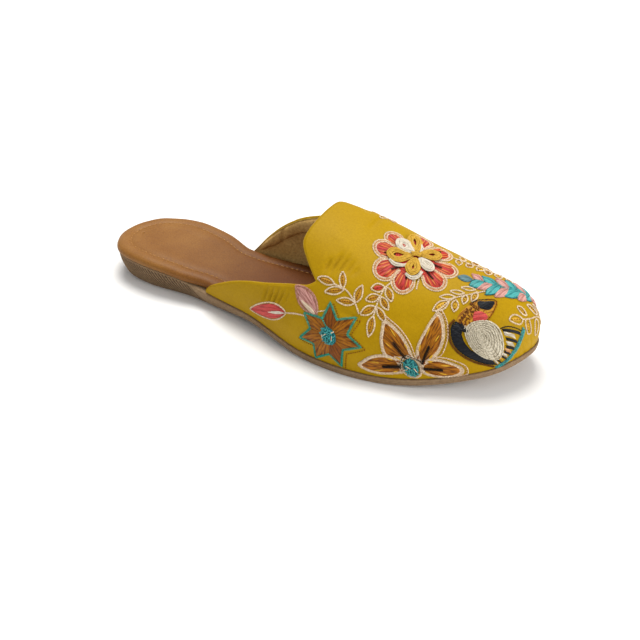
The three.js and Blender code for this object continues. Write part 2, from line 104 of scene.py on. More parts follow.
# Upper
UPPER_WALL = 2.0
FABRIC_SHARE = 0.45
WELT_STEP = 0.9
UPPER_BULGE = 1.8
BULGE_HEIGHT = 30.0
VAMP_CROWN = 60.0
TOE_ROUND_LENGTH = 32.0
TOE_ROUNDNESS = 2.2
WING_LENGTH = 75.0
WING_TIP_HEIGHT = 1.6
WING_HEIGHT = {"lateral": 38.5, "medial": 47.0}
THROAT = 148.0
TAB_SETBACK = 14.0
COLLAR_PAD = 2.1
COLLAR_PAD_WIDTH = 8.5
COLLAR_PAD_SHARE = 0.45
COLLAR_PAD_RUN_OUT = 12.0
LAYER_GAP = 0.03
# The edging's points, and how it thins out to the wing tips
EDGING_STEPS = 420
EDGING_TAPER = 14.0
EDGING_TIP = 0.35
BINDING_RADIUS = 0.5
BINDING_DEPTH = 2.05
HEM_RADIUS = 1.0
FIT_GAP = 0.3

# The sole's outline: share of the length, then the lateral and the medial half width as shares of
# the ball width.
OUTLINE = [
    (0.008, 0.105, 0.1),
    (0.042, 0.235, 0.222),
    (0.12, 0.298, 0.312),
    (0.25, 0.292, 0.296),
    (0.4, 0.369, 0.295),
    (0.55, 0.492, 0.362),
    (0.68, 0.528, 0.472),
    (0.8, 0.463, 0.458),
    (0.9, 0.336, 0.358),
    (0.965, 0.188, 0.262),
]
TOE_TIP = 0.1

# The upper's sections: share of the length, crown as a share of VAMP_CROWN, the ridge's place
# between the two edges, and how square the lateral and the medial shoulder are.
SECTIONS = np.array([
    (0.28, 0.93, 0.7, 2.4, 2.4),
    (0.53, 0.975, 0.72, 2.4, 2.5),
    (0.585, 0.96, 0.7, 2.4, 2.5),
    (0.655, 0.885, 0.65, 2.3, 2.4),
    (0.715, 0.82, 0.61, 2.2, 2.3),
    (0.775, 0.76, 0.59, 2.15, 2.25),
    (0.835, 0.69, 0.58, 2.1, 2.2),
    (0.885, 0.63, 0.57, 2.1, 2.2),
    (0.935, 0.61, 0.55, 2.1, 2.2),
    (1.0, 0.6, 0.5, 2.1, 2.1),
])
CROWN, RIDGE, LATERAL_POWER, MEDIAL_POWER = 1, 2, 3, 4

# The wings' top edge from tip to throat: share of the wing's length, then the height's share on the
# lateral and on the medial side.
WINGS = np.array([
    (0, 0, 0),
    (0.055, 0.11, 0.11),
    (0.16, 0.24, 0.31),
    (0.28, 0.37, 0.5),
    (0.42, 0.485, 0.665),
    (0.58, 0.61, 0.79),
    (0.72, 0.735, 0.87),
    (0.84, 0.835, 0.92),
    (0.94, 0.91, 0.965),
    (1, 1, 1),
])
SIDE_COLUMN = {"lateral": 1, "medial": 2}

# The tab's edge from one throat corner to the other: how far it lies behind the throat.
TAB = np.array([
    (0, 0),
    (0.09, 0.56),
    (0.17, 0.98),
    (0.23, 1.09),
    (0.42, 1.03),
    (0.6, 0.97),
    (0.69, 0.86),
    (0.85, 0.46),
    (1, 0),
])

# The padded roll inside the collar: depth below the edge as a share of the pad's width, and
# thickness as a share of COLLAR_PAD.
PAD = np.array([
    (0, 0.2),
    (0.12, 0.72),
    (0.35, 1),
    (0.65, 0.98),
    (0.85, 0.72),
    (0.95, 0.3),
    (1, 0),
])


def clamp01(value):
    return np.clip(value, 0.0, 1.0)


def smooth(start, end, value):
    t = clamp01((value - start) / (end - start))
    return t * t * (3 - 2 * t)


def through(table, column, at):
    """A smooth curve through one column of a table, by its first column."""
    xs = table[:, 0]
    ys = table[:, column]
    before = np.maximum(np.arange(len(xs)) - 1, 0)
    after = np.minimum(np.arange(len(xs)) + 1, len(xs) - 1)
    slope = (ys[after] - ys[before]) / (xs[after] - xs[before])
    i = np.clip(np.searchsorted(xs, at) - 1, 0, len(xs) - 2)
    span = xs[i + 1] - xs[i]
    t = clamp01((at - xs[i]) / span)
    rise = t * t * (3 - 2 * t)
    leave = t * (1 - t) ** 2 * span * slope[i]
    arrive = t * t * (t - 1) * span * slope[i + 1]
    return ys[i] * (1 - rise) + ys[i + 1] * rise + leave + arrive


# Heights over the floor along the sole

def heel_end(x):
    return clamp01(1 - x / SOLE_LENGTH / HEEL_ROUND) ** 2


def tread_height(x):
    s = x / SOLE_LENGTH
    arch = np.sin(np.pi * clamp01((s - ARCH_START) / ARCH_SPAN)) ** 2
    toe = clamp01((s - TOE_SPRING_START) / (1 - TOE_SPRING_START)) ** TOE_SPRING_POWER
    return HEEL_BEVEL * heel_end(x) + ARCH_RISE * arch + TOE_SPRING * toe


def side_thickness(x):
    wedge = 1 - smooth(WEDGE_START, WEDGE_END, x / SOLE_LENGTH)
    extra = (HEEL_THICKNESS - FORE_THICKNESS) * wedge
    return FORE_THICKNESS + extra - (HEEL_BEVEL + HEEL_DIP) * heel_end(x)


def featherline(x):
    return tread_height(x) + side_thickness(x) + FIT_GAP


# The outline as one closed curve: heel, lateral side, toe, medial side

KNOT_STEPS = 60


def outline_curve():
    knots = [(0.0, 0.0)]
    knots += [(at * SOLE_LENGTH, -lateral * BALL_WIDTH) for at, lateral, _ in OUTLINE]
    knots += [(SOLE_LENGTH, TOE_TIP * BALL_WIDTH)]
    knots += [(at * SOLE_LENGTH, medial * BALL_WIDTH) for at, _, medial in reversed(OUTLINE)]
    p = np.array(knots)
    curve = []
    for i in range(len(p)):
        p0, p1, p2, p3 = (p[(i + k) % len(p)] for k in (-1, 0, 1, 2))
        d0, d1, d2 = (np.sqrt(np.linalg.norm(b - a)) for a, b in ((p0, p1), (p1, p2), (p2, p3)))
        leave = ((p1 - p0) / d0 - (p2 - p0) / (d0 + d1) + (p2 - p1) / d1) * d1
        arrive = ((p2 - p1) / d1 - (p3 - p1) / (d1 + d2) + (p3 - p2) / d2) * d1
        t = np.linspace(0, 1, KNOT_STEPS, endpoint=False)[:, None]
        curve.append((2 * t**3 - 3 * t**2 + 1) * p1 + (t**3 - 2 * t**2 + t) * leave
                     + (3 * t**2 - 2 * t**3) * p2 + (t**3 - t**2) * arrive)
    return np.vstack(curve)


CURVE = outline_curve()
TOE_AT = KNOT_STEPS * (len(OUTLINE) + 1)


def travel(points):
    """Distance along a line at each of its points."""
    steps = np.linalg.norm(np.diff(points, axis=0), axis=1)
    return np.concatenate([[0], np.cumsum(steps)])


def outward_2d(line):
    along = np.roll(line, -1, 0) - np.roll(line, 1, 0)
    out = np.stack([along[:, 1], -along[:, 0]], 1)
    return out / np.linalg.norm(out, axis=1)[:, None]


def side_line(side, inset):
    moved = CURVE - inset * outward_2d(CURVE)
    if side == "lateral":
        return moved[: TOE_AT + 1]
    return np.vstack([moved[TOE_AT:], moved[:1]])[::-1]


UPPER_EDGE = {side: side_line(side, WELT_STEP) for side in SIDE_COLUMN}
TOE_END = UPPER_EDGE["lateral"][-1]


def edge_y(side, x):
    line = UPPER_EDGE[side]
    forward = np.concatenate([[True], np.diff(np.maximum.accumulate(line[:, 0])) > 0])
    return np.interp(x, line[forward, 0], line[forward, 1])


# The upper's outer surface, by x and by turn: 0 at the lateral edge, pi at the medial edge

def crown_height(x):
    left = clamp01((TOE_END[0] - x) / TOE_ROUND_LENGTH)
    rounded = (1 - (1 - left) ** TOE_ROUNDNESS) ** (1 / TOE_ROUNDNESS)
    return VAMP_CROWN * through(SECTIONS, CROWN, x / SOLE_LENGTH) * rounded


def plain_upper(x, turn):
    s = x / SOLE_LENGTH
    lateral = edge_y("lateral", x)
    medial = edge_y("medial", x)
    ridge = lateral + through(SECTIONS, RIDGE, s) * (medial - lateral)
    on_lateral = turn <= np.pi / 2
    powers = [through(SECTIONS, column, s) for column in (LATERAL_POWER, MEDIAL_POWER)]
    power = np.where(on_lateral, *powers)
    reach = np.abs(np.cos(turn)) ** (2 / power)
    rise = np.abs(np.sin(turn)) ** (2 / power)
    y = ridge + (np.where(on_lateral, lateral, medial) - ridge) * reach
    return np.stack([x + 0 * turn, y, featherline(x) + crown_height(x) * rise], -1)


def outward_of(surface, x, turn):
    dx = np.minimum(0.4, (TOE_END[0] - x) * 0.3)
    low = np.maximum(turn - 0.01, 0)
    high = np.minimum(turn + 0.01, np.pi)
    along = surface(x + dx, turn) - surface(x - dx, turn)
    around = surface(x, high) - surface(x, low)
    normal = np.cross(along, around)
    at_edge = (low == 0) | (high == np.pi)
    normal[..., 2] = np.where(at_edge, 0, normal[..., 2])
    at_toe = x > TOE_END[0] - 0.001
    normal[at_toe] = (1, 0, 0)
    return normal / np.linalg.norm(normal, axis=-1)[..., None]


def upper_point(x, turn):
    point = plain_upper(x, turn)
    swell = np.sin(np.pi * clamp01((point[..., 2] - featherline(x)) / BULGE_HEIGHT))
    out = outward_of(plain_upper, x, turn)
    out[..., 2] = 0
    return point + out * (UPPER_BULGE * swell)[..., None]


def upper_normal(x, turn):
    return outward_of(upper_point, x, turn)


def turn_at_height(x, height, side):
    power = through(SECTIONS, SIDE_COLUMN[side] + 2, x / SOLE_LENGTH)
    turn = np.arcsin(clamp01(height / crown_height(x)) ** (power / 2))
    return turn if side == "lateral" else np.pi - turn


# Places on the fabric are also given as on a flat sheet: u is mm from the heel, and v is mm of cloth
# from the ridge, positive towards the lateral edge.

SHEET_X = np.arange(60.0, TOE_END[0] - 0.05, 1.0)
SHEET_TURN = np.linspace(0, np.pi, 361)
SHEET_V = np.arange(-105.0, 105.5, 1.0)


def sheet_tables():
    x, turn = np.meshgrid(SHEET_X, SHEET_TURN, indexing="ij")
    points = upper_point(x, turn)
    steps = np.linalg.norm(np.diff(points, axis=1), axis=2)
    arc = np.concatenate([np.zeros((len(SHEET_X), 1)), np.cumsum(steps, 1)], 1)
    v = arc[:, [len(SHEET_TURN) // 2]] - arc
    turns = np.array([np.interp(SHEET_V, row[::-1], SHEET_TURN[::-1]) for row in v])
    return v, turns


SHEET_ARC, SHEET_TURNS = sheet_tables()


def look_up(table, rows, columns, r, c):
    """Reads a table between its rows and columns."""
    i = np.clip(np.searchsorted(rows, r) - 1, 0, len(rows) - 2)
    j = np.clip(np.searchsorted(columns, c) - 1, 0, len(columns) - 2)
    s = clamp01((r - rows[i]) / (rows[i + 1] - rows[i]))
    t = clamp01((c - columns[j]) / (columns[j + 1] - columns[j]))
    low = table[i, j] * (1 - t) + table[i, j + 1] * t
    high = table[i + 1, j] * (1 - t) + table[i + 1, j + 1] * t
    return low * (1 - s) + high * s


def sheet_v(x, turn):
    return look_up(SHEET_ARC, SHEET_X, SHEET_TURN, x, turn)


def sheet_turn(u, v):
    return look_up(SHEET_TURNS, SHEET_X, SHEET_V, u, v)


# Creases of the cloth on the sheet: start, end, half width and depth in mm. A negative depth is a
# soft ridge.
CREASES = [
    ((117.8, 68.8), (119.6, 61.0), 0.9, 1.2),
    ((120.9, 70.4), (123.2, 60.6), 0.9, 1.45),
    ((124.2, 70.2), (126.8, 60.4), 0.9, 1.45),
    ((127.7, 69.0), (130.2, 60.4), 0.9, 1.2),
    ((131.4, 67.4), (133.6, 60.6), 0.9, 0.7),
    ((149.6, 44.0), (150.8, 36.0), 1.0, 1.35),
    ((152.8, 43.6), (155.0, 31.0), 1.0, 1.7),
    ((156.2, 42.6), (158.6, 30.4), 1.0, 1.6),
    ((159.8, 41.2), (162.2, 31.0), 1.1, 1.2),
    ((163.4, 39.6), (165.6, 33.0), 1.1, 0.8),
    ((157.5, -9.0), (158.4, 7.0), 1.1, 0.85),
    ((164.5, -8.5), (165.4, 0.5), 1.0, 0.45),
    ((122, 68), (140, 76), 2.4, 0.3),
    ((112, 74), (126, 83), 2.2, 0.25),
    ((142, 20), (158, 28), 3.0, -0.3),
    ((146, -10), (152, -4), 1.4, 0.4),
    ((151, -12), (157, -5), 1.6, -0.35),
    ((206, -18), (214, 0), 2.6, 0.35),
    ((212, -16), (220, 2), 2.2, -0.3),
    ((217.4, 40), (218.4, 52), 1.0, 0.35),
    ((213.8, 24.0), (216.4, 31.8), 1.1, 0.4),
    ((163.0, 58.4), (176.0, 54.6), 1.4, 0.6),
    ((244.4, 25.4), (248.8, 29.4), 0.8, 0.4),
    ((246.6, 17.6), (250.4, 19.4), 0.8, 0.4),
    ((248.6, 9.6), (251.4, 8.6), 0.8, 0.35),
    ((196, 44), (206, 40), 2.6, 0.25),
    ((184, 88), (204, 82), 2.6, 0.3),
    ((150, -64), (152, -54), 0.9, 0.35),
    ((146, -65), (148, -56), 0.9, 0.35),
    ((132, -60), (150, -52), 3.0, 0.3),
    ((170, -62), (196, -50), 3.2, 0.3),
    ((176, -68), (202, -56), 2.6, -0.25),
]


def relief(u, v):
    """How far creases lift the cloth off the last, in mm."""
    lift = 0 * u
    for (u0, v0), (u1, v1), width, depth in CREASES:
        along = np.array([u1 - u0, v1 - v0], float)
        length = np.linalg.norm(along)
        du, dv = along / length
        t = clamp01(((u - u0) * du + (v - v0) * dv) / length)
        away = np.hypot(u - u0 - t * length * du, v - v0 - t * length * dv)
        fade = np.sin(np.pi * (0.08 + 0.84 * t))
        lift = lift - depth * fade * np.exp(-((away / width) ** 2))
    return lift


def skin(x, turn, lift=0.0):
    """A point on the finished cloth, with creases, moved out by lift."""
    x, turn, lift = np.broadcast_arrays(np.asarray(x, float), turn, lift)
    raised = lift + relief(x, sheet_v(x, turn))
    return upper_point(x, turn) + upper_normal(x, turn) * raised[..., None]


def sewn(uv, lift=0.0):
    """A point on the cloth for a place (u, v) on the sheet."""
    uv = np.asarray(uv, float)
    return skin(uv[..., 0], sheet_turn(uv[..., 0], uv[..., 1]), lift)


def sewn_facing(uv):
    uv = np.asarray(uv, float)
    return upper_normal(uv[..., 0], sheet_turn(uv[..., 0], uv[..., 1]))


# Meshes. A form is (points in mm, faces, uv in mm for each point).

low_corner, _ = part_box("outsole")
SHIFT = np.array([low_corner.x / MM, low_corner.y / MM - CURVE[:, 1].min(), 0.0])


def net(points, uv=None, facing=1, closed=False):
    """A grid of points as quads. closed joins the last column to the first."""
    n, m = points.shape[:2]
    numbers = np.arange(n * m).reshape(n, m)
    if closed:
        numbers = np.concatenate([numbers, numbers[:, :1]], 1)
    a, b = numbers[:-1, :-1], numbers[1:, :-1]
    c, d = numbers[1:, 1:], numbers[:-1, 1:]
    corners = (a, b, c, d) if facing > 0 else (a, d, c, b)
    faces = np.stack(corners, -1).reshape(-1, 4)
    if uv is None:
        uv = np.zeros((n, m, 2))
    return points.reshape(-1, 3), faces, np.broadcast_to(uv, (n, m, 2)).reshape(-1, 2)


def join(forms):
    points, faces, uvs = [], [], []
    count = 0
    for p, f, uv in forms:
        points.append(p)
        faces.append(f + count)
        uvs.append(uv)
        count += len(p)
    return np.vstack(points), np.vstack(faces), np.vstack(uvs)


def clean(mesh, outward):
    """Merges doubled points, drops flat corners and turns the faces out."""
    work = bmesh.new()
    work.from_mesh(mesh)
    bmesh.ops.remove_doubles(work, verts=work.verts, dist=2e-7)
    bmesh.ops.dissolve_degenerate(work, edges=work.edges, dist=1e-7)
    if outward:
        bmesh.ops.recalc_face_normals(work, faces=work.faces)
    work.to_mesh(mesh)
    work.free()
    mesh.shade_smooth()


def put(name, data):
    """An object in the scene, at its origin."""
    made = bpy.data.objects.new(name, data)
    bpy.context.scene.collection.objects.link(made)
    return made


def make_piece(name, forms, material, outward=False):
    """One mesh object from forms, in the frame's metres."""
    points, faces, uv = join(forms)
    mesh = bpy.data.meshes.new(name)
    mesh.from_pydata(((points + SHIFT) * MM).tolist(), [], faces.tolist())
    layer = mesh.uv_layers.new(name="cloth_mm")
    corners = np.zeros(len(mesh.loops), np.int32)
    mesh.loops.foreach_get("vertex_index", corners)
    layer.data.foreach_set("uv", uv[corners].astype(np.float32).ravel())
    clean(mesh, outward)
    piece = put(name, mesh)
    mesh.materials.append(material)
    return piece


def finish_piece(piece, slot, *nodes):
    if nodes:
        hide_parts(*nodes)
    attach(piece, "root")
    return piece


# Materials

def linear(hex_colour):
    """An sRGB hex colour as linear RGBA."""
    parts = [int(hex_colour[i: i + 2], 16) / 255 for i in (1, 3, 5)]
    lin = [p / 12.92 if p <= 0.04045 else ((p + 0.055) / 1.055) ** 2.4 for p in parts]
    return (*lin, 1.0)


def new_material(name, colour, roughness, specular, **sockets):
    """A material with its node tree and its Principled shader, whose own sockets are set."""
    material = bpy.data.materials.new(name)
    material.use_nodes = True
    material.diffuse_color = linear(colour)
    shader = material.node_tree.nodes["Principled BSDF"]
    shader.inputs["Base Color"].default_value = linear(colour)
    sockets.update(Roughness=roughness, Specular_IOR_Level=specular)
    for socket, value in sockets.items():
        shader.inputs[socket.replace("_", " ")].default_value = value
    return material, material.node_tree, shader


def output(source):
    """A node stands for its first output, and a socket for itself."""
    return source.outputs[0] if isinstance(source, bpy.types.Node) else source


def add(tree, kind, inputs=None, stops=(), **settings):
    """Adds a node. settings are its properties, and stops a ramp's places and hex colours. Of its
    inputs, nodes and sockets are linked, hex colours made linear, and other values set."""
    node = tree.nodes.new(kind)
    for setting, value in settings.items():
        setattr(node, setting, value)
    for name, value in (inputs or {}).items():
        socket = node.inputs[name]
        value = output(value)
        if isinstance(value, bpy.types.NodeSocket):
            tree.links.new(value, socket)
        elif isinstance(value, str) and value.startswith("#"):
            socket.default_value = linear(value)
        else:
            socket.default_value = value
    for number, (place, colour) in enumerate(stops):
        elements = node.color_ramp.elements
        element = elements[number] if number < len(elements) else elements.new(place)
        element.position = place
        element.color = linear(colour)
    return node


def object_mm(tree):
    """Object coordinates in millimetres."""
    place = add(tree, "ShaderNodeTexCoord").outputs["Object"]
    return add(tree, "ShaderNodeMapping", {"Vector": place, "Scale": (1 / MM, 1 / MM, 1 / MM)})


def weighted(tree, a, share, b):
    """A share of a and the rest of b."""
    parts = [add(tree, "ShaderNodeMath", {0: source, 1: part}, operation="MULTIPLY")
             for source, part in ((a, share), (b, 1 - share))]
    return add(tree, "ShaderNodeMath", dict(enumerate(parts)), operation="ADD")


def shaded(tree, factor, colour, source, stops):
    """A colour multiplied by a ramp of paler tones."""
    tones = add(tree, "ShaderNodeValToRGB", {"Fac": source}, stops)
    inputs = {0: factor, 6: colour, 7: tones}
    return add(tree, "ShaderNodeMix", inputs, data_type="RGBA", blend_type="MULTIPLY").outputs[2]


def dress(tree, shader, colour, rough, *layers):
    """Gives the shader its colour, its roughness and its bumps, one over the other: height, distance
    in mm and strength of each."""
    normal = None
    for height, distance_mm, strength in layers:
        inputs = {"Height": height, "Strength": strength, "Distance": distance_mm * MM}
        if normal:
            inputs["Normal"] = normal
        normal = add(tree, "ShaderNodeBump", inputs)
    for socket, source in (("Base Color", colour), ("Roughness", rough), ("Normal", normal)):
        if source is not None:
            tree.links.new(output(source), shader.inputs[socket])


# The pitch of a wave texture's waves where its scale is 1
WAVE_UNIT = 0.314159


def plain_weave(tree, vector, pitch_mm):
    """Height of a plain weave: warp and weft go over and under by turns."""
    inputs = {"Vector": vector, "Scale": WAVE_UNIT / pitch_mm, "Detail": 0.0}
    warp, weft = (add(tree, "ShaderNodeTexWave", inputs, bands_direction=way).outputs["Fac"]
                  for way in "XY")
    warp = add(tree, "ShaderNodeMath", {0: warp, 1: 0.9}, operation="MULTIPLY")
    return add(tree, "ShaderNodeMath", {0: warp, 1: weft}, operation="MAXIMUM")


def woven_silk():
    """Mustard silk-like taffeta, finely plain woven: thin slubs across, a very soft sheen, fine
    crumpling and a faint cloudy cast. Its 0.25 mm weave is drawn at 0.6 mm, so that it shows."""
    material, tree, shader = new_material("mustard_taffeta", "#AA8603", 0.5, 0.09, Sheen_Weight=0.04)
    shader.inputs["Sheen Tint"].default_value = linear("#D8A400")
    cloth = add(tree, "ShaderNodeUVMap", uv_map="cloth_mm")
    weave = plain_weave(tree, cloth, 0.6)
    slubs = []
    for stretch in ((0.3, 1, 1), (1, 0.3, 1)):
        drawn = add(tree, "ShaderNodeMapping", {"Vector": cloth, "Scale": stretch})
        inputs = {"Vector": drawn, "Scale": 1 / 0.6, "Detail": 2.0, "Roughness": 0.6}
        slubs.append(add(tree, "ShaderNodeTexNoise", inputs))
    threads = weighted(tree, slubs[0], 0.5, slubs[1])
    base = add(tree, "ShaderNodeValToRGB", {"Fac": threads},
               [(0.3, "#A07D02"), (0.5, "#AA8603"), (0.7, "#B28E05")])
    inputs = {"Vector": cloth, "Scale": 1 / 30.0, "Detail": 3.0, "Roughness": 0.55}
    cast = add(tree, "ShaderNodeTexNoise", inputs)
    colour = shaded(tree, 0.5, base, cast, [(0.3, "#E9E2C6"), (0.7, "#FFFFFF")])
    inputs = {"Vector": cloth, "Scale": 1 / 7.0, "Detail": 3.0, "Roughness": 0.5}
    crumple = add(tree, "ShaderNodeTexNoise", inputs)
    rough = add(tree, "ShaderNodeMapRange", {"Value": threads, "To Min": 0.62, "To Max": 0.48})
    dress(tree, shader, colour, rough, (crumple, 0.4, 0.35), (threads, 0.07, 0.35), (weave, 0.05, 0.25))
    return material


def woven_lining():
    """Beige-brown cotton lining, a coarse matt plain weave over thin foam. Its 0.5 mm threads are
    drawn at 0.9 mm, so that they show."""
    material, tree, shader = new_material("beige_cotton_lining", "#AE9064", 0.9, 0.05)
    cloth = add(tree, "ShaderNodeUVMap", uv_map="cloth_mm")
    weave = plain_weave(tree, cloth, 0.9)
    inputs = {"Vector": cloth, "Scale": 1 / 1.6, "Detail": 4.0, "Roughness": 0.65}
    fluff = add(tree, "ShaderNodeTexNoise", inputs)
    inputs = {"Vector": object_mm(tree), "Scale": 1 / 18.0, "Detail": 3.0, "Roughness": 0.55}
    cast = add(tree, "ShaderNodeTexNoise", inputs)
    base = add(tree, "ShaderNodeValToRGB", {"Fac": fluff},
               [(0.3, "#B28E56"), (0.52, "#CCA768"), (0.75, "#DEBD7E")])
    colour = shaded(tree, 0.5, base, cast, [(0.3, "#D2C2AC"), (0.7, "#FFFFFF")])
    inputs = {"Vector": cloth, "Scale": 1 / 6.0, "Detail": 3.0, "Roughness": 0.55}
    crumple = add(tree, "ShaderNodeTexNoise", inputs)
    dress(tree, shader, colour, None, (crumple, 0.5, 0.4), (weave, 0.18, 0.5))
    return material


def edge_binding():
    """Thin tan leather-cloth edging, folded over the raw edge: nearly matt, with small spots."""
    material, tree, shader = new_material("tan_edge_binding", "#A5823C", 0.7, 0.12)
    inputs = {"Vector": object_mm(tree), "Scale": 1 / 2.0, "Detail": 4.0, "Roughness": 0.55}
    spot = add(tree, "ShaderNodeTexNoise", inputs)
    colour = add(tree, "ShaderNodeValToRGB", {"Fac": spot}, [(0.3, "#8F6D28"), (0.7, "#B39146")])
    dress(tree, shader, colour, None, (spot, 0.2, 0.5))
    return material


# Where painted shade of the vamp turns the footbed's leather browner, in mm from the shoe's middle
VAMP_SHADE_RAMP = (-112.0, 5.0)


def footbed_leather():
    """Tan faux leather over foam, embossed with a fine grain of about 1.3 mm, semi-matt. It turns
    browner from the heel towards the middle: painted shade of the vamp."""
    material, tree, shader = new_material(
        "tan_faux_leather", "#A06C38", 0.55, 0.2, Coat_Weight=0.05, Coat_Roughness=0.35)
    place = object_mm(tree)
    cells = add(tree, "ShaderNodeTexVoronoi", {"Vector": place, "Scale": 1 / 1.3},
                feature="DISTANCE_TO_EDGE")
    grain = add(tree, "ShaderNodeMath", {0: cells, 1: 3.0}, operation="MULTIPLY")
    grain = add(tree, "ShaderNodeMath", {0: grain, 1: 1.0}, operation="MINIMUM")
    inputs = {"Vector": place, "Scale": 1 / 0.8, "Detail": 4.0, "Roughness": 0.6}
    fine = add(tree, "ShaderNodeTexNoise", inputs)
    inputs = {"Vector": place, "Scale": 1 / 22.0, "Detail": 3.0, "Roughness": 0.55}
    cast = add(tree, "ShaderNodeTexNoise", inputs)
    base = add(tree, "ShaderNodeValToRGB", {"Fac": cast},
               [(0.3, "#8A5B22"), (0.5, "#916228"), (0.72, "#996B2F")])
    # Painted shade: the vamp's shade on the footbed, as a browner tone from the heel towards the middle
    along = add(tree, "ShaderNodeSeparateXYZ", {0: place})
    inputs = {"Value": along, "From Min": VAMP_SHADE_RAMP[0], "From Max": VAMP_SHADE_RAMP[1]}
    inside = add(tree, "ShaderNodeMapRange", inputs, interpolation_type="SMOOTHSTEP")
    inputs = {0: inside, 6: base, 7: "#B89674"}
    base = add(tree, "ShaderNodeMix", inputs, data_type="RGBA", blend_type="MULTIPLY").outputs[2]
    colour = shaded(tree, 0.5, base, grain, [(0.0, "#C9B7A2"), (0.35, "#FFFFFF")])
    colour = shaded(tree, 0.35, colour, fine, [(0.3, "#C8AE8C"), (0.7, "#FFFFFF")])
    inputs = {"Vector": place, "Scale": 1 / 9.0, "Detail": 3.0, "Roughness": 0.55}
    crumple = add(tree, "ShaderNodeTexNoise", inputs)
    rough = add(tree, "ShaderNodeMapRange", {"Value": fine, "To Min": 0.42, "To Max": 0.66})
    dress(tree, shader, colour, rough, (crumple, 0.4, 0.3), (grain, 0.12, 0.4), (fine, 0.1, 0.4))
    return material


def moulded_tpr():
    """Taupe thermoplastic rubber, injection moulded in an etched mould: matt, with a fine pebbled
    grain of about 0.9 mm. Between the heel's ribs it is painted darker, as shade in the grooves.
    The UV map holds mm along the ribs and how ribbed the place is."""
    material, tree, shader = new_material("taupe_tpr", "#947A5E", 0.78, 0.25)
    place = object_mm(tree)
    pebble = add(tree, "ShaderNodeTexVoronoi", {"Vector": place, "Scale": 1 / 0.9}, feature="SMOOTH_F1")
    inputs = {"Vector": place, "Scale": 1 / 1.2, "Detail": 4.0, "Roughness": 0.6}
    fine = add(tree, "ShaderNodeTexNoise", inputs)
    inputs = {"Vector": place, "Scale": 1 / 30.0, "Detail": 3.0, "Roughness": 0.55}
    cast = add(tree, "ShaderNodeTexNoise", inputs)
    base = add(tree, "ShaderNodeValToRGB", {"Fac": fine},
               [(0.25, "#78624A"), (0.55, "#90775A"), (0.8, "#A1886B")])
    colour = shaded(tree, 0.5, base, cast, [(0.3, "#D8CBBB"), (0.7, "#FFFFFF")])
    marks = add(tree, "ShaderNodeSeparateXYZ", {0: add(tree, "ShaderNodeUVMap", uv_map="cloth_mm")})
    turns = add(tree, "ShaderNodeMath", {0: marks, 1: 2 * math.pi / RIB_PITCH}, operation="MULTIPLY")
    ridge = add(tree, "ShaderNodeMath", {0: turns}, operation="COSINE")
    ridge = add(tree, "ShaderNodeMath", {0: ridge, 1: marks.outputs["Y"]}, operation="MULTIPLY")
    # Painted shade: the grooves between the heel's ribs are darkened by #7A6753
    rib_groove_shade = add(tree, "ShaderNodeMath", {0: ridge, 1: -1.0}, operation="MULTIPLY")
    rib_groove_shade = add(tree, "ShaderNodeMath", {0: rib_groove_shade, 1: 0.0}, operation="MAXIMUM")
    inputs = {0: rib_groove_shade, 6: colour, 7: "#7A6753"}
    colour = add(tree, "ShaderNodeMix", inputs, data_type="RGBA", blend_type="MULTIPLY").outputs[2]
    rough = add(tree, "ShaderNodeMapRange", {"Value": fine, "To Min": 0.66, "To Max": 0.9})
    dress(tree, shader, colour, rough, (ridge, 0.35, 0.8), (pebble, 0.16, 0.5), (fine, 0.12, 0.4))
    return material


# Sole

SOLE_LEVELS = 20
RIBBED_STEPS = 420
PLAIN_STEPS = 230
TREAD_COLUMNS = 30


def side_places(side, ribbed_steps, plain_steps):
    """Points down one side of the outline from heel to toe, closer together where it is ribbed."""
    line = side_line(side, 0)
    travelled = travel(line)
    ribbed = np.interp(RIB_END * SOLE_LENGTH, line[:, 0], travelled) if ribbed_steps else 0
    first = np.linspace(0, ribbed, ribbed_steps + 1)
    rest = np.linspace(ribbed, travelled[-1], plain_steps + 1)[1:]
    at = np.concatenate([first, rest])
    return np.stack([np.interp(at, travelled, line[:, k]) for k in (0, 1)], 1), at


def outline_ring(ribbed_steps, plain_steps):
    """The outline as a ring, heel first: points, outward directions, mm from the heel."""
    lateral, at_lateral = side_places("lateral", ribbed_steps, plain_steps)
    medial, at_medial = side_places("medial", ribbed_steps, plain_steps)
    ring = np.vstack([lateral, medial[::-1][1:-1]])
    at = np.concatenate([at_lateral, -at_medial[::-1][1:-1]])
    return ring, outward_2d(ring), at


def across(ring, columns):
    """Strips across the foot between the two sides of a ring."""
    half = len(ring) // 2
    lateral = ring[: half + 1]
    medial = np.vstack([ring[:1], ring[half:][::-1]])
    t = np.linspace(0, 1, columns + 1)[None, :, None]
    return lateral[:, None] * (1 - t) + medial[:, None] * t


def tread_cut(x, y):
    """Depth of the tread's grooves: bars across the heel and the ball, and fine waves between."""
    lateral = np.interp(x, *side_line("lateral", TREAD_MARGIN)[2:-2].T)
    medial = np.interp(x, *side_line("medial", TREAD_MARGIN)[2:-2].T)
    inside = smooth(0, 1.2, np.minimum(y - lateral, medial - y))
    s = x / SOLE_LENGTH
    cut = 0 * x
    half = TREAD_BAR_PITCH / 2
    near, far = TREAD_BANK_FADE
    for start, end in TREAD_BANKS:
        band = smooth(start - far, start - near, s) * (1 - smooth(end + near, end + far, s))
        away = np.abs((x - start * SOLE_LENGTH + half) % TREAD_BAR_PITCH - half)
        cut = cut + TREAD_BAR_DEPTH * band * (1 - smooth(0.55, 1.1, away))
    swung = x + TREAD_WAVE * np.sin(2 * np.pi * y / TREAD_WAVE_LENGTH)
    wavy = np.sin(2 * np.pi * swung / TREAD_PITCH)
    ends = smooth(0.03, 0.06, s) * (1 - smooth(0.93, 0.97, s))
    cut = cut + TREAD_FINE_DEPTH * smooth(0.2, 0.8, wavy) * ends
    return cut * inside


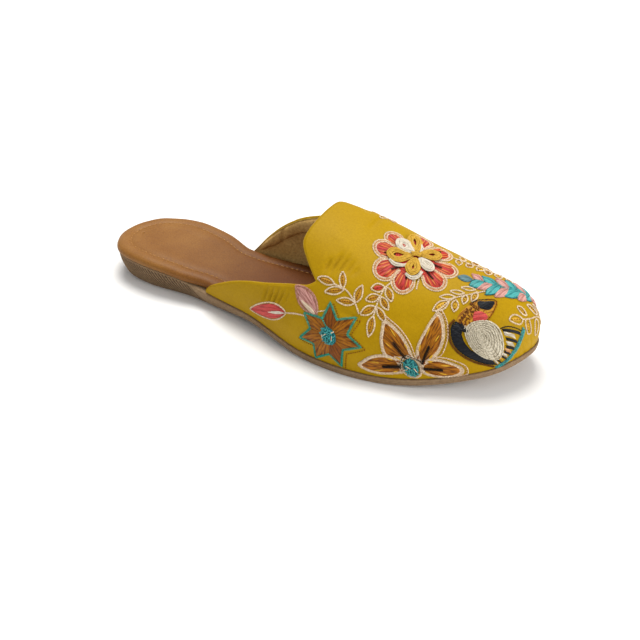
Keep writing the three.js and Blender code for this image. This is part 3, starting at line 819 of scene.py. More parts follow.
def make_outsole():
    ring, out, at = outline_ring(RIBBED_STEPS, PLAIN_STEPS)
    x = ring[:, 0]
    s = x / SOLE_LENGTH
    fore = smooth(0.2, 0.5, s)
    undercut = HEEL_UNDERCUT + (FORE_UNDERCUT - HEEL_UNDERCUT) * fore
    rows, marks = [], []
    for level in np.linspace(0, 1, SOLE_LEVELS + 1):
        height = side_thickness(x) * level
        ease = RIM_EASE * (1 - smooth(0, 0.07, level)) + TOP_EASE * smooth(0.95, 1, level)
        lean = undercut * (1 - level) ** UNDERCUT_POWER
        ribbed = 1 - smooth(RIB_END - 0.02, RIB_END, s + 0.05 * level)
        phase = 2 * np.pi * (at + np.sign(at) * RIB_SLANT * height) / RIB_PITCH
        ribbed = ribbed * smooth(0.03, 0.12, level) * (1 - smooth(0.88, 0.95, level))
        rib = RIB_DEPTH * ribbed * (0.5 - 0.5 * np.cos(phase))
        marks.append(np.stack([phase / (2 * np.pi) * RIB_PITCH, ribbed], -1))
        groove = 0
        for place in SIDE_GROOVES:
            groove = groove + np.exp(-(((level - place) / SIDE_GROOVE_WIDTH) ** 2))
        groove = SIDE_GROOVE * groove * smooth(RIB_END, 0.38, s)
        inset = ease + lean + rib + groove
        placed = ring - out * inset[:, None]
        rows.append(np.column_stack([placed, tread_height(x) + height]))
    wall = np.array(rows)
    tread = across(wall[0], TREAD_COLUMNS)
    tread_z = tread_height(tread[..., 0]) + tread_cut(tread[..., 0], tread[..., 1])
    tread[1:-1, 1:-1, 2] = tread_z[1:-1, 1:-1]
    sides = net(wall, np.array(marks), closed=True, facing=-1)
    forms = [sides, net(tread, facing=1), net(across(wall[-1], 4), facing=-1)]
    return make_piece("outsole_moulded", forms, moulded_tpr(), outward=True)


# Footbed

FOOTBED_STEPS = 300
FOOTBED_COLUMNS = 36


def footbed_inset(x):
    inside = WELT_STEP + UPPER_WALL + FIT_GAP + 0.1
    tip = THROAT - WING_LENGTH
    return (inside + HEEL_OVERHANG) * smooth(tip - FOOTBED_SHOULDER, tip, x) - HEEL_OVERHANG


# The rolled border from its underside to the stitched dip: inset in mm, height as a share of the
# footbed's thickness, and puff in mm.
BORDER = [
    (1.35, 0.0, 0),
    (0.55, 0.08, 0),
    (0.12, 0.2, 0),
    (0.0, 0.36, 0),
    (0.08, 0.54, 0),
    (0.45, 0.72, 0),
    (1.1, 0.86, 0),
    (2.0, 0.95, 0.05),
    (3.1, 1.0, 0.18),
    (4.3, 1.0, 0.25),
    (5.5, 1.0, 0.18),
    (6.6, 1.0, 0.0),
    (7.3, 1.0, -0.25),
    (8.0, 1.0, -0.55),
    (8.7, 1.0, -0.25),
    (9.5, 1.0, 0.02),
    (11.0, 1.0, 0.2),
    (13.0, 1.0, 0.26),
]


def border_pucker(at):
    """Soft puckers of the wrapped border."""
    return BORDER_PUCKER * np.sin(at / 3.1) * np.sin(at / 7.7 + 1.3)


# Shallow prints of the heel and of the ball: middle, half length, half width and depth in mm
FOOT_PRINTS = [
    ((34, 0), 24, 20, 0.35),
    ((182, -2), 26, 26, 0.3),
]


def footbed_top(x, y):
    sunk = 0 * x
    for middle, length, width, depth in FOOT_PRINTS:
        away = ((x - middle[0]) / length) ** 2 + ((y - middle[1]) / width) ** 2
        sunk = sunk - depth * np.exp(-away)
    return sunk


def make_footbed():
    ring, out, at = outline_ring(0, FOOTBED_STEPS)
    x = ring[:, 0]
    rows = []
    for inset, level, puff in BORDER:
        placed = ring - out * (footbed_inset(x) + inset)[:, None]
        near_edge = smooth(0.3, 0.9, level) * (1 - smooth(5.5, 8.0, inset))
        z = featherline(x) + FOOTBED_THICKNESS * level + puff + near_edge * border_pucker(at)
        rows.append(np.column_stack([placed, z]))
    wall = np.array(rows)
    top = across(wall[-1], FOOTBED_COLUMNS)
    edge = 4 * np.linspace(0, 1, FOOTBED_COLUMNS + 1) * np.linspace(1, 0, FOOTBED_COLUMNS + 1)
    top[..., 2] += footbed_top(top[..., 0], top[..., 1]) * smooth(0, 0.5, edge)[None, :]
    under = across(wall[0], 4)
    forms = [net(wall, closed=True, facing=-1), net(top, facing=-1), net(under, facing=1)]
    piece = make_piece("footbed_padded", forms, footbed_leather(), outward=True)
    line = ring - out * (footbed_inset(x) + STITCH_INSET)[:, None]
    seam = np.column_stack([line, featherline(x) + FOOTBED_THICKNESS - STITCH_DIP + 0.12])
    return piece, seam


# Upper

WING_COLUMNS = 120
WING_LEVELS = 44
VAMP_COLUMNS = 146
TAB_COLUMNS = 16
TAB_ROWS = 72
PAD_ROWS = np.linspace(1, 0, 15)


def wing_top(x, side):
    rise = through(WINGS, SIDE_COLUMN[side], (x - THROAT + WING_LENGTH) / WING_LENGTH)
    return WING_TIP_HEIGHT + (WING_HEIGHT[side] - WING_TIP_HEIGHT) * rise


def wing_column(x, side):
    """Turns and pad thickness up one column of a wing, from the sole to the top edge."""
    height = wing_top(x, side)
    pad_width = np.minimum(COLLAR_PAD_WIDTH, COLLAR_PAD_SHARE * height)
    run_out = 1 - smooth(THROAT - COLLAR_PAD_RUN_OUT, THROAT - 1, x)
    thick = COLLAR_PAD * smooth(FOOTBED_THICKNESS, 3 * FOOTBED_THICKNESS, height) * run_out
    plain = np.linspace(0, 1, WING_LEVELS - len(PAD_ROWS) + 1)[:-1]
    levels = np.concatenate([(height - pad_width) * plain, height - pad_width * PAD_ROWS])
    swell = np.concatenate([0 * plain, thick * through(PAD, 1, PAD_ROWS)])
    return turn_at_height(x, levels, side), swell


def wing_patch(side):
    xs = np.linspace(THROAT - WING_LENGTH, THROAT, WING_COLUMNS + 1)
    columns = [wing_column(x, side) for x in xs]
    turn = np.array([c[0] for c in columns])
    pad = np.array([c[1] for c in columns])
    return np.broadcast_to(xs[:, None], turn.shape), turn, pad


def tab_turns():
    first = wing_column(THROAT, "lateral")[0][-1]
    last = wing_column(THROAT, "medial")[0][-1]
    t = np.linspace(0, 1, TAB_ROWS + 1)
    return first + (last - first) * (t - 0.08 * np.sin(2 * np.pi * t))


def tab_patch():
    turns = tab_turns()
    t = (turns - turns[0]) / (turns[-1] - turns[0])
    out = 1 - np.linspace(0, 1, TAB_COLUMNS + 1)
    x = THROAT - TAB_SETBACK * through(TAB, 1, t)[None, :] * out[:, None]
    return x, np.broadcast_to(turns, x.shape), 0 * x


def vamp_patch():
    lateral = wing_column(THROAT, "lateral")[0]
    medial = wing_column(THROAT, "medial")[0]
    turns = np.concatenate([lateral[:-1], tab_turns(), medial[::-1][1:]])
    t = np.linspace(0, 1, VAMP_COLUMNS + 1)
    along = t + (np.sin(np.pi / 2 * t) - t) * np.sqrt(t)
    x = THROAT + (TOE_END[0] - THROAT) * along
    x, turn = np.meshgrid(x, turns, indexing="ij")
    return x, turn, 0 * x


def upper_layer(name, outer_lift, inner_lift, padded, material, pucker=None):
    """A closed shell of the upper between two depths of its wall."""
    forms = []

    def patch(places, facing):
        x, turn, pad = places
        uv = np.stack([x, sheet_v(x, turn)], -1)
        extra = 0 if pucker is None else pucker(x, turn, pad)
        outer = skin(x, turn, outer_lift)
        inner = skin(x, turn, inner_lift - (pad + extra if padded else 0))
        forms.append(net(outer, uv, facing))
        forms.append(net(inner, uv, -facing))
        return outer, inner, uv

    def edge(outer, inner, uv, facing):
        strip = np.stack([outer, inner], 1)
        forms.append(net(strip, np.stack([uv, uv], 1), facing))

    for side, facing in (("lateral", 1), ("medial", -1)):
        outer, inner, uv = patch(wing_patch(side), facing)
        edge(outer[:, -1], inner[:, -1], uv[:, -1], facing)
        edge(outer[:, 0], inner[:, 0], uv[:, 0], -facing)
        edge(outer[0], inner[0], uv[0], facing)
    outer, inner, uv = patch(tab_patch(), 1)
    edge(outer[0], inner[0], uv[0], 1)
    outer, inner, uv = patch(vamp_patch(), 1)
    edge(outer[:, 0], inner[:, 0], uv[:, 0], -1)
    edge(outer[:, -1], inner[:, -1], uv[:, -1], 1)
    if not padded:
        forms.append(top_edge_tube(-HEM_RADIUS, HEM_RADIUS))
    return make_piece(name, forms, material)


# Where one sharp pucker crosses the padded roll of the medial wing, in mm from the heel
LINING_NOTCH = 93.5
NOTCH_WIDTH = 1.5
# Depths of the notch and of the gathers, as shares of the roll's thickness
NOTCH_DEPTH = 0.75
GATHER_DEPTH = 0.16


def lining_pucker(x, turn, pad):
    """Small gathers where the lining is drawn over the padded roll."""
    medial = turn > np.pi / 2
    beat = np.where(medial, np.sin(x / 1.9 + 2 * np.sin(x / 11)), np.sin(x / 2.6))
    notch = np.exp(-(((x - LINING_NOTCH) / NOTCH_WIDTH) ** 2)) * medial
    return GATHER_DEPTH * pad * beat - NOTCH_DEPTH * pad * notch


def top_edge_places():
    """x and turn along the whole top edge, from the lateral wing tip to the medial one."""
    lateral = wing_patch("lateral")
    medial = wing_patch("medial")
    tab = tab_patch()
    x = np.concatenate([lateral[0][:-1, -1], tab[0][0], medial[0][::-1, -1][1:]])
    turn = np.concatenate([lateral[1][:-1, -1], tab[1][0], medial[1][::-1, -1][1:]])
    return x, turn


def tube(points, radius, sides=10, facing=None, closed=False):
    """A round tube along points. Its ends taper to a point unless it is closed."""
    along = np.gradient(points, axis=0)
    if closed:
        along = np.roll(points, -1, 0) - np.roll(points, 1, 0)
    along /= np.linalg.norm(along, axis=1)[:, None]
    up = np.array([0, 0, 1.0]) if facing is None else facing
    side = np.cross(along, np.broadcast_to(up, points.shape))
    side /= np.linalg.norm(side, axis=1)[:, None]
    up = np.cross(side, along)
    angle = np.linspace(0, 2 * np.pi, sides, endpoint=False)
    radius = np.broadcast_to(radius, (len(points),)).copy()
    if not closed:
        radius[[0, -1]] = 0
    ring = side[:, None] * np.cos(angle)[None, :, None] + up[:, None] * np.sin(angle)[None, :, None]
    rows = points[:, None] + ring * radius[:, None, None]
    uv = np.stack(np.meshgrid(travel(points), angle, indexing="ij"), -1)
    if closed:
        rows = np.concatenate([rows, rows[:1]])
        uv = np.concatenate([uv, uv[:1]])
    return net(rows, uv, closed=True, facing=-1)


def top_edge_tube(depth, radius):
    """A round edging along the top edge, tapered to both wing tips."""
    x, turn = top_edge_places()
    points = skin(x, turn, depth)
    distances = travel(points)
    even = np.linspace(0, distances[-1], EDGING_STEPS)
    points = np.stack([np.interp(even, distances, points[:, k]) for k in range(3)], 1)
    ends = np.minimum(even, distances[-1] - even)
    thick = EDGING_TIP + (1 - EDGING_TIP) * smooth(0, EDGING_TAPER, ends)
    return tube(points, radius * thick, 10)


# Stitches set along paths by Geometry Nodes

def stitch_tree():
    """Sets a stitch every pitch along each line of the mesh, turned to the line and to the cloth."""
    tree = bpy.data.node_groups.new("stitches_along_lines", "GeometryNodeTree")
    for name, kind in (("Lines", "Geometry"), ("Stitch", "Object"), ("Pitch", "Float"),
                       ("Unevenness", "Float"), ("Thread", "Material")):
        tree.interface.new_socket(name, in_out="INPUT", socket_type="NodeSocket" + kind)
    tree.interface.new_socket("Stitches", in_out="OUTPUT", socket_type="NodeSocketGeometry")
    given = add(tree, "NodeGroupInput").outputs
    curve = add(tree, "GeometryNodeMeshToCurve", {"Mesh": given["Lines"]})
    spaced = {"Curve": curve, "Length": given["Pitch"]}
    dense = add(tree, "GeometryNodeResampleCurve", spaced, mode="LENGTH")
    along = add(tree, "GeometryNodeInputTangent")
    facing = add(tree, "GeometryNodeInputNamedAttribute", {"Name": "facing"}, data_type="FLOAT_VECTOR")
    turned = add(tree, "FunctionNodeAlignRotationToVector", {"Vector": along}, axis="X")
    inputs = {"Rotation": turned, "Vector": facing.outputs["Attribute"]}
    turned = add(tree, "FunctionNodeAlignRotationToVector", inputs, axis="Z", pivot_axis="X")
    low, high = (add(tree, "ShaderNodeMath", {0: 1.0, 1: given["Unevenness"]}, operation=operation)
                 for operation in ("SUBTRACT", "ADD"))
    size = add(tree, "FunctionNodeRandomValue", {2: low, 3: high, "Seed": 7}, data_type="FLOAT")
    stitch = add(tree, "GeometryNodeObjectInfo", {"Object": given["Stitch"]})
    placed = add(tree, "GeometryNodeInstanceOnPoints", {
        "Points": dense,
        "Instance": stitch.outputs["Geometry"],
        "Rotation": turned,
        "Scale": size.outputs[1],
    })
    real = add(tree, "GeometryNodeRealizeInstances", {"Geometry": placed})
    finish = add(tree, "GeometryNodeSetMaterial", {"Geometry": real, "Material": given["Thread"]})
    add(tree, "NodeGroupOutput", {"Stitches": finish})
    return tree


STITCH_TREE = stitch_tree()


def stitch_object(name, forms):
    """A single stitch at the origin: X along its line, Z off the cloth."""
    points, faces, _ = join(forms)
    mesh = bpy.data.meshes.new(name)
    mesh.from_pydata((points * MM).tolist(), [], faces.tolist())
    clean(mesh, True)
    return bpy.data.objects.new(name, mesh)


def bead(start, end, radius, sides=6, rounds=4):
    """A short thick stretch of thread with round ends."""
    t = (1 - np.cos(np.linspace(0, np.pi, rounds + 1))) / 2
    points = np.array(start, float) + (np.array(end, float) - np.array(start, float)) * t[:, None]
    return tube(points, radius * np.sqrt(1 - (2 * t - 1) ** 2 * 0.999), sides)


STITCHES = {
    "chain": stitch_object("chain_link", [
        bead((-0.62, 0, 0.1), (0.62, 0.3, 0.26), 0.25),
        bead((-0.62, 0, 0.1), (0.62, -0.3, 0.26), 0.25),
    ]),
    "stem": stitch_object("stem_stitch", [bead((-0.95, -0.16, 0.12), (0.95, 0.16, 0.22), 0.27)]),
    "knot": stitch_object("french_knot", [bead((-0.34, 0, 0.18), (0.34, 0, 0.18), 0.32)]),
    "bar": stitch_object("bar_stitch", [bead((0, -0.75, 0.16), (0, 0.75, 0.16), 0.26)]),
    "seam": stitch_object("seam_stitch", [
        bead((-STITCH_LENGTH / 2, 0, 0), (STITCH_LENGTH / 2, 0, 0), STITCH_RADIUS),
    ]),
}


def run_stitches(name, lines, stitch, pitch, material, unevenness=0.08):
    """lines is a list of (points in mm, facings, closed). Returns one plain mesh object."""
    points, facings, edges = [], [], []
    count = 0
    for line, facing, closed in lines:
        n = len(line)
        points.append(line)
        facings.append(np.broadcast_to(facing, line.shape))
        edges += [(count + i, count + i + 1) for i in range(n - 1)]
        if closed:
            edges.append((count + n - 1, count))
        count += n
    mesh = bpy.data.meshes.new(name + "_lines")
    mesh.from_pydata(((np.vstack(points) + SHIFT) * MM).tolist(), edges, [])
    attribute = mesh.attributes.new("facing", "FLOAT_VECTOR", "POINT")
    attribute.data.foreach_set("vector", np.vstack(facings).astype(np.float32).ravel())
    source = put(name + "_lines", mesh)
    modifier = source.modifiers.new("stitches", "NODES")
    modifier.node_group = STITCH_TREE
    given = {"Stitch": STITCHES[stitch], "Pitch": pitch * MM, "Unevenness": unevenness,
             "Thread": material}
    for socket in STITCH_TREE.interface.items_tree:
        if socket.in_out == "INPUT" and socket.name in given:
            modifier[socket.identifier] = given[socket.name]
    bpy.context.view_layer.update()
    evaluated = source.evaluated_get(bpy.context.evaluated_depsgraph_get())
    made = bpy.data.meshes.new_from_object(evaluated)
    made.name = name
    source.modifiers.clear()
    bpy.data.objects.remove(source)
    return put(name, made)


# Embroidery, charted on the sheet

# Each thread's light tone and its dark tone in shade. The rayon's streaks and the floss's twist paint
# the dark tone in as shade, and the cotton's fuzz mottles the two at random.
THREADS = {
    "cream": ("#E2CEB2", "#B1967A"),
    "coral": ("#BC3A2B", "#861E16"),
    "salmon": ("#CE6F36", "#A44A1E"),
    "crimson": ("#BC3234", "#8C1F22"),
    "rose": ("#CB4A46", "#A33533"),
    "peach": ("#D6A677", "#AC7643"),
    "tan": ("#BC8C57", "#8F6232"),
    "ochre": ("#A6660A", "#5C2E02"),
    "honey": ("#BC8618", "#875009"),
    "russet": ("#8A4A0A", "#552B03"),
    "gold": ("#D6A52C", "#A87C14"),
    "straw": ("#CFA53A", "#9C741A"),
    "white": ("#DCD3C2", "#A99E88"),
    "turquoise": ("#4BA5A3", "#1B6468"),
    "jade": ("#38A08B", "#1B6E5D"),
    "teal": ("#1A6F75", "#0F4A50"),
    "pink": ("#CE9A90", "#975E56"),
    "navy": ("#15181F", "#090A0E"),
    "umber": ("#1E130B", "#0D0805"),
    "brown": ("#6F3F16", "#47240A"),
    "slate": ("#5F8288", "#3C5A62"),
    "stone": ("#D6CDB8", "#9A8F78"),
}
THREAD_PITCH = 0.75


def rayon(colour):
    """Glossy rayon embroidery thread laid side by side: soft streaks of light along the threads,
    painted into its colour between its light and dark tone, and glossier where light.
    The 0.3 mm threads are drawn at THREAD_PITCH, so that they show."""
    light, dark = THREADS[colour]
    material, tree, shader = new_material("rayon_thread_" + colour, light, 0.45, 0.18)
    thread = add(tree, "ShaderNodeUVMap", uv_map="cloth_mm")
    drawn = add(tree, "ShaderNodeMapping", {"Vector": thread, "Scale": (1, 0.09, 1)})
    inputs = {"Vector": drawn, "Scale": 1 / 0.9, "Detail": 2.5, "Roughness": 0.65}
    streak = add(tree, "ShaderNodeTexNoise", inputs)
    drawn = add(tree, "ShaderNodeMapping", {"Vector": thread, "Scale": (1, 0.5, 1)})
    inputs = {"Vector": drawn, "Scale": 1 / 3.2, "Detail": 2.0, "Roughness": 0.5}
    mixed = weighted(tree, streak, 0.75, add(tree, "ShaderNodeTexNoise", inputs))
    # Painted sheen and shade: the streaks turn the colour between the thread's dark and light tone
    toned = add(tree, "ShaderNodeValToRGB", {"Fac": mixed}, [(0.42, dark), (0.54, light)])
    inputs = {"Vector": thread, "Scale": WAVE_UNIT / THREAD_PITCH, "Detail": 0.0}
    strands = add(tree, "ShaderNodeTexWave", inputs).outputs["Fac"]
    rough = add(tree, "ShaderNodeMapRange", {"Value": streak, "To Min": 0.55, "To Max": 0.32})
    dress(tree, shader, toned, rough, (strands, 0.16, 0.7), (streak, 0.22, 0.7))
    return material


def spun_thread(colour):
    """Thick spun cotton thread of outlines and knots: matt, with a light fuzz."""
    light, dark = THREADS[colour]
    material, tree, shader = new_material("cotton_thread_" + colour, light, 0.75, 0.15)
    inputs = {"Vector": object_mm(tree), "Scale": 1 / 0.9, "Detail": 3.0, "Roughness": 0.6}
    fuzz = add(tree, "ShaderNodeTexNoise", inputs)
    toned = add(tree, "ShaderNodeValToRGB", {"Fac": fuzz}, [(0.32, dark), (0.58, light)])
    dress(tree, shader, toned, None, (fuzz, 0.15, 0.6))
    return material


SATIN = {}
LINES = {}


def unit(vector):
    vector = np.asarray(vector, float)
    return vector / np.linalg.norm(vector)


def beside(along):
    """The direction square to a line on the sheet."""
    return unit(along)[::-1] * (-1, 1)


def circle(count):
    """Angles all round, and the direction of each."""
    angle = np.linspace(0, 2 * np.pi, count, endpoint=False)
    return angle, np.stack([np.cos(angle), np.sin(angle)], 1)


def leaf_outline(base, tip, width, shape="leaf", inset=0.0, count=44):
    """A closed outline on the sheet. A petal is broadest near its blunt tip, a leaf at its middle, a
    bud near its base, and a fan widens straight to its round end."""
    base, tip = np.array(base, float), np.array(tip, float)
    along = unit(tip - base)
    side = np.array([-along[1], along[0]])
    base, tip = base + along * inset, tip - along * inset * 1.1
    length = np.linalg.norm(tip - base)
    t = (1 - np.cos(np.linspace(0, np.pi, count // 2 + 1))) / 2
    if shape == "fan":
        swell = np.where(t < 0.7, t / 0.7, np.sqrt(np.maximum(0, 1 - ((t - 0.7) / 0.3) ** 2)))
    else:
        lean, power = {"petal": (1.45, 0.62), "leaf": (0.92, 0.82), "bud": (0.8, 0.75)}[shape]
        swell = np.sin(np.pi * t**lean) ** power
    half = (width / 2 - inset) * swell
    half[[0, -1]] = 0
    one = base + along * (length * t)[:, None] + side * half[:, None]
    other = base + along * (length * t)[:, None] - side * half[:, None]
    return np.vstack([one, other[::-1][1:-1]])


def smooth_path(points, step=0.6, closed=False):
    """A smooth line through points on the sheet."""
    p = np.array(points, float)
    n = len(p)
    out = []
    for i in range(n if closed else n - 1):
        if closed:
            p0, p1, p2, p3 = (p[(i + k) % n] for k in (-1, 0, 1, 2))
        else:
            p0, p1, p2, p3 = p[max(i - 1, 0)], p[i], p[i + 1], p[min(i + 2, n - 1)]
        steps = max(2, int(np.linalg.norm(p2 - p1) / step))
        t = np.linspace(0, 1, steps, endpoint=False)[:, None]
        out.append(0.5 * (2 * p1 + (p2 - p0) * t + (2 * p0 - 5 * p1 + 4 * p2 - p3) * t**2
                          + (3 * p1 - p0 - 3 * p2 + p3) * t**3))
    if not closed:
        out.append(p[-1:])
    return np.vstack(out)


def rounded_field(points):
    """A smooth closed outline through points on the sheet."""
    return smooth_path(points, 1.0, closed=True)


def straight_path(points, step=0.6, closed=False):
    p = [np.array(q, float) for q in points]
    if closed:
        p.append(p[0])
    out = []
    for a, b in zip(p, p[1:]):
        steps = max(1, int(np.linalg.norm(b - a) / step))
        out.append(a + (b - a) * np.linspace(0, 1, steps, endpoint=False)[:, None])
    if not closed:
        out.append(p[-1][None])
    return np.vstack(out)


SATIN_PILE = 0.14
SATIN_SUNK = 0.15
SATIN_RIPPLE = 0.07


def satin(colour, outline, fan, dome=0.55, rings=9, floor=0.0):
    """A raised satin-stitched patch. Its threads fan out from the point fan."""
    outline = np.asarray(outline, float)
    fan = np.array(fan, float)
    centre = outline.mean(0)
    axis = unit(centre - fan)
    far = np.linalg.norm(centre - fan)
    share = np.concatenate([[0.0, 1.0], np.sin(np.linspace(np.pi / 2, 0, rings))])
    uv = centre + (outline - centre)[None] * share[:, None, None]
    away = uv - fan
    across = np.arctan2(away @ np.array([-axis[1], axis[0]]), away @ axis) * far
    thread = np.stack([across, np.linalg.norm(away, axis=-1)], -1)
    top = dome * np.sqrt(1 - share[:, None] ** 2) + SATIN_PILE + floor
    ripple = SATIN_RIPPLE * np.cos(2 * np.pi * across / THREAD_PITCH) * (1 - share[:, None] ** 6)
    lift = top + ripple
    lift[:2] = -SATIN_SUNK
    SATIN.setdefault(colour, []).append(net(sewn(uv, lift), thread, closed=True))


def line(colour, stitch, path, closed=False, lift=0.0):
    LINES.setdefault((colour, stitch), []).append((sewn(path, lift), sewn_facing(path), closed))


FLECK_LIFT = 0.08


def leaf(base, tip, width, fill="honey", edge="cream", shape="leaf"):
    """A sprig's leaf: a chain-stitched outline with a thin satin filling."""
    line(edge, "chain", leaf_outline(base, tip, width, shape), closed=True)
    if fill:
        base, tip = np.array(base, float), np.array(tip, float)
        inner = leaf_outline(base, tip, width, shape, inset=0.85, count=24)
        satin(fill, inner, base - (tip - base) * 0.5, dome=0.2, rings=5)
        flecks = straight_path([base + (tip - base) * 0.25, base + (tip - base) * 0.8])
        line("brown", "knot", flecks, lift=FLECK_LIFT)


def sprig(stem, leaves):
    line("cream", "chain", smooth_path(stem))
    for base, tip, width, *fill in leaves:
        leaf(base, tip, width, *fill)


FLOWER_MIDDLE = (186.3, 8.2)
# The coral petals: the tip and the width of each
CORAL_PETALS = [
    ((166.4, 3.6), 11.4),
    ((165.6, 17.6), 12.6),
    ((174.0, 31.6), 12.4),
    ((188.4, 32.8), 12.4),
    ((207.0, 20.0), 12.6),
    ((209.4, 6.8), 11.4),
    ((198.8, -8.4), 13.0),
    ((181.0, -12.4), 12.4),
]
# Flecks of salmon and crimson thread in each petal: how far each lies to the side
PETAL_FLECKS = (-0.3, -0.17, -0.04, 0.1, 0.24)
CORAL_VEINS = [
    ((177.5, 15.0), (172.6, 17.4)),
    ((184.3, 18.6), (180.2, 23.8)),
    ((188.4, 18.6), (188.6, 24)),
    ((194.6, 13.8), (200.4, 17)),
    ((195, 8), (200.9, 7.9)),
    ((191.0, 0.6), (194.6, -4.0)),
]


def sew_coral_flower():
    middle = np.array(FLOWER_MIDDLE)
    for tip, width in CORAL_PETALS:
        outer, inner, dotted, under, field = (
            leaf_outline(middle, tip, width, "fan", inset=inset) for inset in (0.0, 1.35, 0.7, 0.2, 1.6))
        line("cream", "chain", outer, closed=True)
        line("cream", "chain", inner, closed=True)
        line("peach", "knot", dotted, closed=True, lift=FLECK_LIFT)
        satin("peach", under, middle, dome=0.05, rings=5)
        satin("coral", field, middle, dome=0.4)
        along = np.array(tip, float) - middle
        side = beside(along)
        for sway in PETAL_FLECKS:
            start = middle + along * 0.56 + side * sway * width * 0.8
            end = middle + along * (0.9 - abs(sway) * 0.25) + side * sway * width * 1.15
            colour = "salmon" if abs(sway) > 0.08 else "crimson"
            fleck = leaf_outline(start, end, 1.0, count=16)
            satin(colour, fleck, middle, dome=0.16, rings=4, floor=0.36)
    for start, end in CORAL_VEINS:
        line("umber", "bar", straight_path([start, end], 0.3), lift=0.8)
    line("cream", "chain", smooth_path([(194.5, 21), (195, 23.5), (195.6, 26)]))


SPRIGS = [
    (
        [(157, 47.5), (163, 46.8), (168, 48.5), (170.5, 50), (173.5, 53)],
        [
            ((157, 47.3), (147.5, 48.5), 3.8),
            ((162, 47), (158.7, 39.5), 3.5),
            ((162.5, 47.5), (153.5, 53.3), 3.6),
            ((170.3, 49.5), (170.7, 40.3), 4.0),
            ((170, 50), (160.8, 54), 3.4),
        ],
    ),
    (
        [(183, 30), (181.5, 34), (181, 38), (180.8, 42), (181, 46), (181, 50)],
        [
            ((181, 34), (175.3, 38.8), 4.0, "coral"),
            ((180.5, 39.5), (174.8, 45.3), 3.5),
            ((180.5, 45.3), (174.5, 53), 3.6),
            ((182.3, 33.5), (187, 38.5), 4.0),
            ((181.5, 39.5), (186.8, 43), 4.0),
            ((181.5, 45), (187.5, 49), 3.6),
            ((181, 50), (181.3, 60), 3.8),
        ],
    ),
    (
        [(226, 9.5), (222, 13.5), (218.7, 16.4), (215.3, 19.8), (212.9, 23.3), (211, 27.7),
         (208.9, 31.6)],
        [
            ((221.5, 11), (214.8, 13.5), 2.2, None),
            ((217.5, 16), (210.9, 18.5), 2.2, None),
            ((214.3, 20.3), (207.7, 24), 2.5, None),
            ((212.5, 24), (207.3, 32), 4.0, "gold"),
            ((223, 12), (222.8, 18), 3.0, "gold"),
            ((219, 16.5), (219.5, 21.3), 3.0, "gold"),
            ((215.5, 21.5), (216.8, 27.2), 3.5, "gold"),
        ],
    ),
    (
        [(249.2, -9), (248.4, -2.0), (247.2, 4.0), (245.2, 8.5)],
        [
            ((245.2, 8.5), (241.0, 15.0), 3.0, "gold"),
            ((245.8, 4.7), (241.8, 5.8), 2.8, "gold"),
            ((247.9, -3.4), (244.4, -0.3), 2.8, "gold"),
            ((247.0, 5.1), (248.0, 10.4), 2.6, "gold"),
            ((249.0, -1.0), (250.0, 4.0), 1.8, None),
            ((248.6, -8.0), (245.2, -5.6), 2.8, "gold"),
        ],
    ),
    (
        [(146.0, -25.0), (150.0, -19.4), (154.5, -15.0), (158.8, -11.8), (163.4, -9.8)],
        [
            ((159.0, -11.7), (156.8, -6.4), 2.8, None),
            ((159.6, -11.4), (163.2, -15.6), 2.8),
            ((153.8, -15.6), (150.0, -11.6), 3.2),
            ((154.6, -15.0), (159.4, -19.6), 3.2),
            ((149.6, -20.0), (144.8, -17.0), 3.2),
            ((150.2, -19.2), (154.8, -24.6), 3.2),
            ((146.2, -24.8), (142.6, -30.2), 3.4),
        ],
    ),
    (
        [(199, -5), (206, -6.5), (214, -8.5), (224, -10), (233, -12)],
        [
            ((204.5, -6.2), (206.8, -0.8), 3.4, "gold"),
            ((206.5, -6.6), (204.0, -12.6), 3.4, "gold"),
            ((211.5, -7.8), (210.4, -2.6), 3.6),
            ((214, -8.5), (209.5, -14.6), 3.8),
            ((217, -9), (216.2, -3.2), 3.8, "gold"),
            ((220, -9.4), (222.0, -3.6), 4.0),
            ((220.5, -9.5), (216.4, -16.5), 4.0, "gold"),
            ((225, -10), (228.0, -5.0), 4.0, "gold"),
            ((227, -10.6), (224.0, -18.0), 4.0),
            ((231, -11.6), (233.2, -6.6), 3.6),
            ((233, -12), (235.6, -19), 3.8, "gold"),
        ],
    ),
]
STAR_TIPS = [(157.9, 56.7), (173.1, 55.7), (178.8, 67.2), (169, 85.6), (153.5, 90.0), (144.2, 81.8),
             (145.2, 67.7)]
STAR_NOTCHES = [(163.8, 62.5), (170.7, 66), (169.7, 74.8), (162.1, 82.1), (153, 81.4), (150.3, 74),
                (156, 66)]
# The star's brown shadow along two of its sides
STAR_SHADOWS = [
    [(160.0, 56.4), (165.2, 61.6), (175.6, 55.6), (172.6, 64.8), (181.2, 67.2), (171.8, 75.8),
     (171, 86.8)],
    [(143.6, 82.6), (147.4, 83.4), (152.2, 82.8)],
]
STAR_CENTRE = (161.1, 72.3)


GOLDEN_TURN = 2.39996


def knotted_centre(colour, centre, radii, knots, seed):
    """A lumpy centre of packed knots on a low pad."""
    rim = np.array(centre) + circle(36)[1] * radii
    satin("teal", rim, (centre[0] - 12, centre[1] - 12), dome=0.8, rings=7, floor=0.4)
    chance = np.random.default_rng(seed)
    for k in range(knots):
        reach = math.sqrt((k + 0.5) / knots) * 0.92
        turn = k * GOLDEN_TURN
        u = centre[0] + radii[0] * reach * math.cos(turn)
        v = centre[1] + radii[1] * reach * math.sin(turn)
        way = chance.uniform(0, math.pi)
        ends = np.array([[math.cos(way), math.sin(way)]]) * np.array([[-0.55], [0.55]])
        height = 0.75 + 0.85 * math.sqrt(1 - reach**2) + chance.uniform(0, 0.3)
        line("cream" if k % 9 == 4 else colour, "stem", np.array([(u, v)]) + ends, lift=height)


